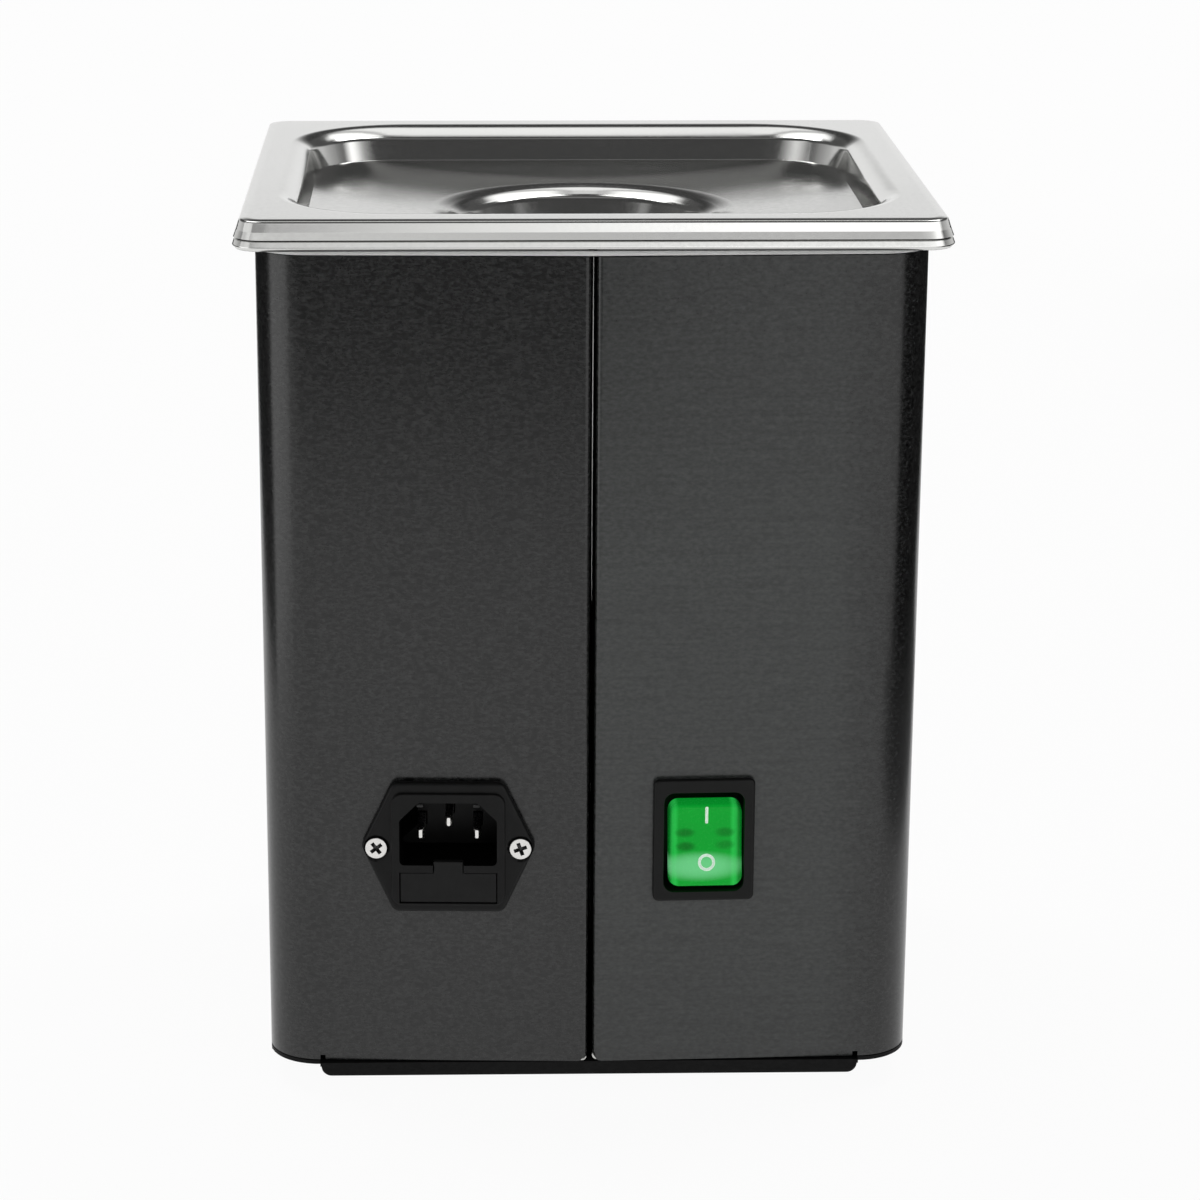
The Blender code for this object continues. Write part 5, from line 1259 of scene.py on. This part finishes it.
def makeFuse():
    # a glass tube with a plated cap at each end
    s = drawerSet
    size, length = s["fuse"]
    radius, half = size / 2, length / 2
    cap, neck = half - length * s["fuseCap"], radius * s["fuseNeck"]
    bend, cut = s["fuseRound"]
    end = [(radius - bend, half), (radius - cut, half - cut), (radius, half - bend), (radius, cap),
           (neck, cap - 0.05 * mm)]
    section = [(r, -z) for r, z in end] + list(reversed(end))
    look = {"tones": ((0.80, 0.83, 0.83), (0.86, 0.88, 0.88)), "rough": (0.04, 0.08), "cloud": 200.0,
            "grain": 900.0, "bump": 0.02, "shader": {"Transmission Weight": 0.85, "IOR": 1.47}}
    bm = turnedBody(section, 40)
    bmesh.ops.rotate(bm, matrix=Matrix.Rotation(pi / 2, 3, "Y"), verts=bm.verts)
    moved(bm, 0, inletFace - s["face"] - size, fuseLevel())
    glass, plate = makeFinish("fuseGlass", look), makeFinish("fuseCap", screwSet["look"])
    fuse = newPiece("fuseTube", bm, glass, plate, place=inletPlace)
    for face in fuse.data.polygons:
        face.material_index = int(abs(face.center.x) > cap - 0.04 * mm)
    shadeSmooth(fuse, 35)
    seat(fuse, "drawer_body", "fuse_glass", "fuse")


makeInlet()
makeScrews()
makePins()
makeDrawer()
makeFuse()
print("inlet, screws, pins, drawer and fuse made")


# lit rocker switch

bezelSet = {
    "size": (25.2 * mm, 32.0 * mm),
    "corner": 1.4 * mm,
    "proud": 1.7 * mm,
    "edge": 0.7 * mm,
    "opening": (20.0 * mm, 26.0 * mm),
    "openingDrop": 0.5 * mm,
    "openingCorner": 2.6 * mm,
    "wall": 1.2 * mm,
    "deep": 20 * mm,
    "blade": (6.9 * mm, 1.4 * mm),
    "bladeAt": (4.8 * mm, 6.0 * mm),
    "bladeDeep": 2.4 * mm,
    "rockerRoom": 0.4 * mm,
    "cutEdge": 0.2 * mm,
    "look": dict(mouldLook, tones=((0.004, 0.0042, 0.004), (0.006, 0.0063, 0.006)), rough=(0.32, 0.44)),
}


def makeBezel():
    s, fit = bezelSet, inletSet["fit"]
    front = fit + s["proud"]
    plate = prism(roundedOutline(boxOutline(*s["size"]), s["corner"]), fit, front, "Y")
    bezel = newPiece("switchBezel", plate, makeFinish("switchPlastic", s["look"]), place=switchPlace)
    wide, tall = s["opening"]
    body = roundedOutline(boxOutline(wide + 2 * s["wall"], tall + s["wall"]), s["wall"], 4)
    shapePiece(bezel, [prism(body, -s["deep"], fit + s["proud"] / 2, "Y")], (), s["edge"], 50, 4)
    floor = -rockerSet["pivot"] - rockerSet["radius"] - s["rockerRoom"]
    mouth = roundedOutline(boxOutline(wide, tall, 0, -s["openingDrop"]), s["openingCorner"], 8)
    cuts = [prism(mouth, floor, front + mm, "Y")]
    x, z = s["bladeAt"]
    for sx, sz in ((-1, -1), (-1, 1), (1, -1), (1, 1)):
        slot = boxOutline(*s["blade"], sx * x, sz * z)
        cuts.append(prism(slot, -s["deep"] - mm, -s["deep"] + s["bladeDeep"], "Y"))
    shapePiece(bezel, (), cuts, s["cutEdge"], 50, 2)
    seat(bezel, "housing_body", "switch_plastic", "switch_frame")


rockerSet = {
    "width": 18.3 * mm,
    "radius": 11.2 * mm,         # of its ends about the hinge
    "drop": 1.55 * mm,           # sits low in its frame
    "shift": -0.4 * mm,
    "tilt": radians(7.5),
    "hollow": 1.2 * mm,
    "proud": 1.7 * mm,
    "pivot": 1.0 * mm,
    "thick": 5.0 * mm,
    "corner": 2.6 * mm,
    "edge": 1.5 * mm,
    "faceSteps": 24,
    "markShift": -0.2 * mm,
    "bar": (0.75 * mm, 4.4 * mm, 7.7 * mm),      # width, height, above the middle
    "ring": (4.3 * mm, 0.75 * mm, -4.4 * mm),    # across, stroke, above the middle
    "markSink": 0.1 * mm,
    "markLift": 0.06 * mm,
}


def rockerNumbers():
    # how far its ends stand before the hinge, and from its middle
    s = rockerSet
    tip = acos((s["pivot"] + s["proud"]) / s["radius"]) - s["tilt"]
    return s["radius"] * cos(tip), s["radius"] * sin(tip)


def faceHeight(v):
    lift, reach = rockerNumbers()
    return lift - rockerSet["hollow"] * (1 - (v / reach) ** 2)


def rockerPoint(x, y, v):
    # a point of the rocker before its tilt, turned to where it rests
    s = rockerSet
    turn = Matrix.Rotation(s["tilt"], 2) @ Vector((y, v))
    return Vector((x + s["shift"], turn.x - s["pivot"], turn.y - s["drop"]))


def rockerOutline(inset):
    # rounded oblong with points along its sides too, where the face is hollow
    half, reach = rockerSet["width"] / 2 - inset, rockerNumbers()[1] - inset
    corners = roundedOutline(boxOutline(2 * half, 2 * reach), rockerSet["corner"] - inset * 0.6, 8)
    points = []
    for here, after in zip(corners, corners[1:] + corners[:1]):
        here, after = Vector(here), Vector(after)
        parts = 18 if (after - here).length > rockerSet["corner"] else 1
        points += [tuple(here.lerp(after, i / parts)) for i in range(parts)]
    return points


def makeRocker():
    s = rockerSet
    lift, reach = rockerNumbers()
    under = acos((lift - s["thick"]) / s["radius"])
    spread = s["radius"] * sin(under) / reach
    rings = [[rockerPoint(x, lift - s["thick"], v * spread) for x, v in rockerOutline(0)]]
    for turn in range(0, 91, 15):        # over the rounded edge
        inset, drop = s["edge"] * (1 - cos(radians(turn))), s["edge"] * (1 - sin(radians(turn)))
        rings.append([rockerPoint(x, faceHeight(v) - drop, v) for x, v in rockerOutline(inset)])
    face = rockerOutline(s["edge"])
    for i in range(1, s["faceSteps"]):   # and in towards the middle of the face
        share = 1 - i / s["faceSteps"]
        rings.append([rockerPoint(x * share, faceHeight(v * share), v * share) for x, v in face])
    rocker = newPiece("rockerLens", loft(rings), makeLensFinish(), place=switchPlace)
    shadeSmooth(rocker, 50)
    seat(rocker, "rocker_body", "green_lens", "power_rocker")


lensSet = {
    "look": {"tones": ((0.002, 0.20, 0.016), (0.003, 0.25, 0.020)), "rough": (0.22, 0.3), "cloud": 90.0,
             "grain": 1200.0, "bump": 0.03,
             "shader": {"Specular IOR Level": 0.12, "Emission Strength": 0.6}},
    # light from inside, from the middle of the face to its sides: x in mm, colour
    "glow": [(0.0, (0.003, 0.34, 0.030)), (6.3, (0.003, 0.34, 0.030)), (7.2, (0.025, 0.59, 0.088)),
             (7.9, (0.020, 0.50, 0.075)), (8.6, (0.003, 0.14, 0.016))],
    # soft spots on the face: x, z, half width, half height in mm, and how strong
    # the first spot is a painted highlight: a lamp's reflection low on the face, paler than the glow
    "glint": [(1.0, -6.4, 13.0, 4.0, 0.9)],
    "glintTone": (0.25, 0.80, 0.39),
    "dim": [(4.8, 2.0, 3.0, 1.5, 0.8), (4.6, -1.5, 3.0, 1.5, 0.9), (-5.2, 2.0, 3.0, 1.6, 0.7),
            (-5.2, -1.2, 3.0, 1.5, 0.6)],
    "dimTone": (0.001, 0.04, 0.004),
}


def softSpot(tree, axes, x, z, wide, tall):
    # 1 in the middle of the spot, 0 outside
    parts = []
    for axis, middle, size in (("X", x, wide), ("Z", z, tall)):
        scaled = mathNode(tree, "DIVIDE", mathNode(tree, "SUBTRACT", axes[axis], middle * mm), size * mm)
        parts.append(mathNode(tree, "MULTIPLY", scaled, scaled))
    return rangeNode(tree, mathNode(tree, "ADD", *parts), 1.0, 0.0, way="SMOOTHSTEP")


def makeLensFinish():
    s = lensSet
    material = makeFinish("greenLens", s["look"])
    tree = material.node_tree
    axes = objectPlace(tree)[1]
    half = rockerSet["width"] / 2
    aside = rangeNode(tree, mathNode(tree, "ABSOLUTE", axes["X"]), 0.0, half)
    colour = rampNode(tree, aside, [(x * mm / half, glow) for x, glow in s["glow"]])
    # a painted highlight low on the face, then the dim spots
    for name in ("glint", "dim"):
        for *spot, depth in s[name]:
            share = mathNode(tree, "MULTIPLY", softSpot(tree, axes, *spot), depth)
            colour = mixNode(tree, share, colour, (*s[name + "Tone"], 1))
    tree.links.new(colour, tree.nodes["Principled BSDF"].inputs["Emission Color"])
    return material


def makeMarks():
    s = rockerSet
    look = {"tones": ((0.72, 0.86, 0.74), (0.80, 0.92, 0.82)), "rough": (0.3, 0.4), "cloud": 400.0,
            "grain": 2000.0, "bump": 0.03,
            "shader": {"Emission Color": (0.6, 0.95, 0.68, 1), "Emission Strength": 0.25}}
    finish = makeFinish("markWhite", look)
    shift = s["markShift"]
    wide, tall, rise = s["bar"]
    makeMark("markOn", [roundedOutline(boxOutline(wide, tall, shift, rise), wide * 0.4, 6)], finish)
    across, stroke, rise = s["ring"]
    rings = [circleOutline(size, 48, shift, rise) for size in (across, across - 2 * stroke)]
    makeMark("markOff", rings, finish)


def makeMark(name, loops, finish):
    # printed marks follow the hollow face
    s = rockerSet
    under = [[rockerPoint(x, faceHeight(v) - s["markSink"], v) for x, v in loop] for loop in loops]
    above = [[rockerPoint(x, faceHeight(v) + s["markLift"], v) for x, v in loop] for loop in loops]
    if len(loops) == 1:
        bm = loft([under[0], above[0]])
    else:
        bm = loft([under[0], above[0], above[1], under[1]], closed=True)
    mark = newPiece(name, bm, finish, place=switchPlace)
    shadeSmooth(mark, 40)
    seat(mark, "rocker_body", "green_lens")


makeBezel()
makeRocker()
makeMarks()
print("switch made")


# control panel at the front

fasciaSet = {
    "size": (116 * mm, 64 * mm),
    "corner": 6 * mm,
    "thick": 2.6 * mm,
    "edge": 1.0 * mm,
    "spigot": (106 * mm, 54 * mm, 3.0 * mm),
    "spigotWall": 2 * mm,
    "spigotDeep": 7.5 * mm,
    "window": (62 * mm, 22 * mm, 13 * mm),
    "windowThick": 1.4 * mm,
    "windowCorner": 0.5 * mm,
    "windowEdge": 0.25 * mm,
    "cutEdge": 0.2 * mm,
    "ledge": 3 * mm,
    "holes": 11.2 * mm,
    "look": {"tones": ((0.030, 0.030, 0.033), (0.042, 0.042, 0.046)), "rough": (0.48, 0.6), "cloud": 200.0,
             "grain": 2400.0, "bump": 0.2},
}
buttonSet = {
    "diameter": 10.4 * mm,
    "pitch": 19.2 * mm,
    "drop": 15.5 * mm,
    "proud": 1.2 * mm,
    "round": 0.6 * mm,
    "hollow": 0.3 * mm,          # the face is a little dished
    "collar": (1.2 * mm, 1.3 * mm),
    "stem": 3.0 * mm,
    "stemEnd": 2.9 * mm,
    "look": {"tones": ((0.50, 0.51, 0.52), (0.57, 0.58, 0.59)), "rough": (0.42, 0.52), "cloud": 150.0,
             "grain": 2200.0, "bump": 0.12},
}


def buttonPlaces():
    return [((i - 2) * buttonSet["pitch"], -buttonSet["drop"]) for i in range(5)]


def makeFascia():
    s, fit = fasciaSet, inletSet["fit"]
    front, skin = -fit - s["thick"], -fit
    plate = prism(roundedOutline(boxOutline(*s["size"]), s["corner"], 10), front, skin, "Y")
    fascia = newPiece("panelFascia", plate, makeFinish("panelPlastic", s["look"]), place=panelPlace)
    shapePiece(fascia, edge=s["edge"], segments=4)
    wide, tall, corner = s["spigot"]
    wall = prism(roundedOutline(boxOutline(wide, tall), corner), skin - s["thick"] / 2, s["spigotDeep"], "Y")
    shrink = 2 * s["spigotWall"]
    hollow = roundedOutline(boxOutline(wide - shrink, tall - shrink), corner - s["spigotWall"])
    cuts = [prism(hollow, skin, s["spigotDeep"] + mm, "Y")]
    for x, z in buttonPlaces():
        cuts.append(prism(circleOutline(s["holes"], 40, x, z), front - mm, skin + mm, "Y"))
    wide, tall, rise = s["window"]
    cuts.append(prism(boxOutline(wide, tall, 0, rise), front - mm, front + s["windowThick"] + fit, "Y"))
    sight = boxOutline(wide - 2 * s["ledge"], tall - 2 * s["ledge"], 0, rise)
    cuts.append(prism(sight, front, skin + mm, "Y"))
    shapePiece(fascia, [wall], cuts, s["cutEdge"], 50, 2)
    seat(fascia, "housing_body", "panel_plastic", "control_fascia")


def makeWindow():
    s, fit = fasciaSet, inletSet["fit"]
    wide, tall, rise = s["window"]
    front = -fit - s["thick"]
    look = {"tones": ((0.05, 0.02, 0.025), (0.06, 0.026, 0.03)), "rough": (0.03, 0.06), "cloud": 60.0,
            "grain": 500.0, "bump": 0.01, "shader": {"Transmission Weight": 0.75, "IOR": 1.45}}
    outline = roundedOutline(boxOutline(wide - 2 * fit, tall - 2 * fit, 0, rise), s["windowCorner"], 4)
    pane = prism(outline, front, front + s["windowThick"], "Y")
    lens = newPiece("displayLens", pane, makeFinish("smokedWindow", look), place=panelPlace)
    shapePiece(lens, edge=s["windowEdge"], segments=3)
    seat(lens, "housing_body", "window_plastic", "display_window")


digitSet = {
    "height": 9.5 * mm,
    "width": 5.4 * mm,
    "stroke": 1.1 * mm,
    "pitch": 9.0 * mm,
    "lean": radians(6),
    "thick": (0.35 * mm, 0.02 * mm),     # in front of the display block, from and to
    "shown": "0500",
    "look": {"tones": ((0.55, 0.02, 0.02), (0.62, 0.03, 0.03)), "rough": (0.4, 0.5), "cloud": 500.0,
             "grain": 2000.0, "bump": 0.02,
             "shader": {"Emission Color": (1.0, 0.05, 0.03, 1), "Emission Strength": 9.0}},
}


def makeDigits():
    # seven bars to a figure, on the front of the display block
    s = digitSet
    bars = {"0": "abcdef", "5": "acdfg"}
    hx, hz, t = s["width"] / 2, s["height"] / 2, s["stroke"]
    flat, tall = (s["width"] - t * 1.3, t), (t, hz - t * 0.75)
    places = {"a": (0, hz, flat), "g": (0, 0, flat), "d": (0, -hz, flat), "b": (hx, hz / 2, tall),
              "c": (hx, -hz / 2, tall), "e": (-hx, -hz / 2, tall), "f": (-hx, hz / 2, tall)}
    front, back = (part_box("display_module")[0].y - out for out in s["thick"])
    level = shellSet["panelUp"] + fasciaSet["window"][2]
    parts = []
    for place, figure in enumerate(s["shown"]):
        middle = (place - (len(s["shown"]) - 1) / 2) * s["pitch"]      # left to right along +x
        for bar in bars[figure]:
            x, z, size = places[bar]
            outline = roundedOutline(boxOutline(*size, x, z), t * 0.3, 3)
            slanted = [(middle + u + v * tan(s["lean"]), v + level) for u, v in outline]
            parts.append(prism(slanted, front, back, "Y"))
    digits = newPiece("displayDigits", merged(parts), makeFinish("figureRed", s["look"]))
    shadeSmooth(digits, 40)
    seat(digits, "housing_body", "display_plastic")


def makeButtons():
    s, fit = buttonSet, inletSet["fit"]
    finish = makeFinish("buttonPlastic", s["look"])
    radius, stem, bend = s["diameter"] / 2, s["stem"] / 2, s["round"]
    front = -fit - fasciaSet["thick"] - s["proud"]
    collar, lip = s["collar"]
    section = [(stem, s["stemEnd"]), (stem, collar), (radius + lip, collar), (radius + lip, 0), (radius, 0)]
    for turn in (radians(t) for t in (0, 22, 45, 67, 90)):
        section.append((radius - bend * (1 - cos(turn)), front + bend * (1 - sin(turn))))
    for share in (0.7, 0.5, 0.3, 0.1):
        section.append((radius * share, front + s["hollow"] * (1 - (share / 0.88) ** 2)))
    for number, (x, z) in enumerate(buttonPlaces(), 1):
        place = panelPlace @ Matrix.Translation((x, 0, z))
        button = newPiece(f"pushButton{number}", turnedBody(section, 48, "Y"), finish, place=place)
        shadeSmooth(button, 40)
        seat(button, f"button_body_{number}", "button_plastic", f"button_{number}")


makeFascia()
makeWindow()
makeDigits()
makeButtons()
print("control panel made")


# pieces that keep their CAD shape: finishes only

leadLook = {"rough": (0.42, 0.55), "cloud": 150.0, "grain": 1800.0, "bump": 0.12}
innerLooks = {
    "brass": {"tones": ((0.62, 0.47, 0.19), (0.72, 0.57, 0.27)), "metal": 1.0, "rough": (0.26, 0.4),
              "cloud": 300.0, "grain": 1800.0, "bump": 0.1},
    "nickel": screwSet["look"],
    "displayBlack": {"tones": ((0.012, 0.012, 0.013), (0.02, 0.02, 0.021)), "rough": (0.4, 0.5),
                     "cloud": 200.0, "grain": 1500.0, "bump": 0.05},
    "boardGreen": {"tones": ((0.012, 0.10, 0.045), (0.03, 0.17, 0.08)), "rough": (0.35, 0.5),
                   "cloud": 260.0, "grain": 1600.0, "bump": 0.15},
    "castAluminium": {"tones": ((0.58, 0.59, 0.60), (0.70, 0.71, 0.72)), "metal": 1.0, "rough": (0.3, 0.45),
                      "cloud": 120.0, "grain": 2200.0, "stretch": (1, 1, 9), "bump": 0.15},
    "turnedSteel": {"tones": ((0.52, 0.52, 0.52), (0.62, 0.62, 0.61)), "metal": 1.0, "rough": (0.26, 0.4),
                    "cloud": 150.0, "grain": 2200.0, "stretch": (1, 1, 9), "bump": 0.15},
    "firedCeramic": {"tones": ((0.38, 0.33, 0.26), (0.48, 0.43, 0.36)), "rough": (0.6, 0.75),
                     "cloud": 240.0, "grain": 2500.0, "bump": 0.2},
    "heaterMat": {"tones": ((0.42, 0.10, 0.045), (0.56, 0.16, 0.08)), "rough": (0.6, 0.75),
                  "cloud": 140.0, "grain": 1700.0, "bump": 0.35},
    "cutoutCase": {"tones": ((0.02, 0.02, 0.02), (0.04, 0.04, 0.04)), "rough": (0.45, 0.6),
                   "cloud": 300.0, "grain": 2200.0, "bump": 0.15},
    "coilVarnish": {"tones": ((0.42, 0.26, 0.05), (0.62, 0.42, 0.11)), "rough": (0.3, 0.5),
                    "cloud": 200.0, "grain": 1800.0, "stretch": (1, 1, 6), "bump": 0.4},
    "canSleeve": {"tones": ((0.02, 0.02, 0.05), (0.04, 0.04, 0.08)), "rough": (0.3, 0.42),
                  "cloud": 160.0, "grain": 1500.0, "bump": 0.08},
    "leadBrown": dict(leadLook, tones=((0.10, 0.035, 0.016), (0.16, 0.06, 0.03))),
    "leadBlue": dict(leadLook, tones=((0.02, 0.07, 0.30), (0.03, 0.11, 0.42))),
    "leadRed": dict(leadLook, tones=((0.32, 0.02, 0.02), (0.46, 0.035, 0.03))),
    "leadEarth": dict(leadLook, tones=((0.07, 0.30, 0.03), (0.60, 0.52, 0.03)), cloud=90.0),
}
innerNodes = {
    "brass": ["electrode_1", "electrode_2"]
             + [f"switch_terminal_{number}" for number in range(1, 5)]
             + [f"board_standoff_{number}" for number in range(1, 5)],
    "nickel": ["inlet_nut_1", "inlet_nut_2", "transducer_bolt"],
    "displayBlack": ["display_module"],
    "boardGreen": ["control_board", "driver_board"],
    "castAluminium": ["transducer_head", "heat_sink"],
    "turnedSteel": ["transducer_tail"],
    "firedCeramic": ["piezo_ring_1", "piezo_ring_2"],
    "heaterMat": ["heater_pad"],
    "cutoutCase": ["thermal_cutout"],
    "coilVarnish": ["transformer"],
    "canSleeve": ["capacitor"],
    "leadBrown": ["lead_live"],
    "leadBlue": ["lead_neutral"],
    "leadRed": ["lead_transducer"],
    "leadEarth": ["lead_earth"],
}
for finishName, nodeNames in innerNodes.items():
    finish = makeFinish(finishName, innerLooks[finishName])
    for nodeName in nodeNames:
        nodes[nodeName].data.materials.clear()
        nodes[nodeName].data.materials.append(finish)
print("inner works finished")
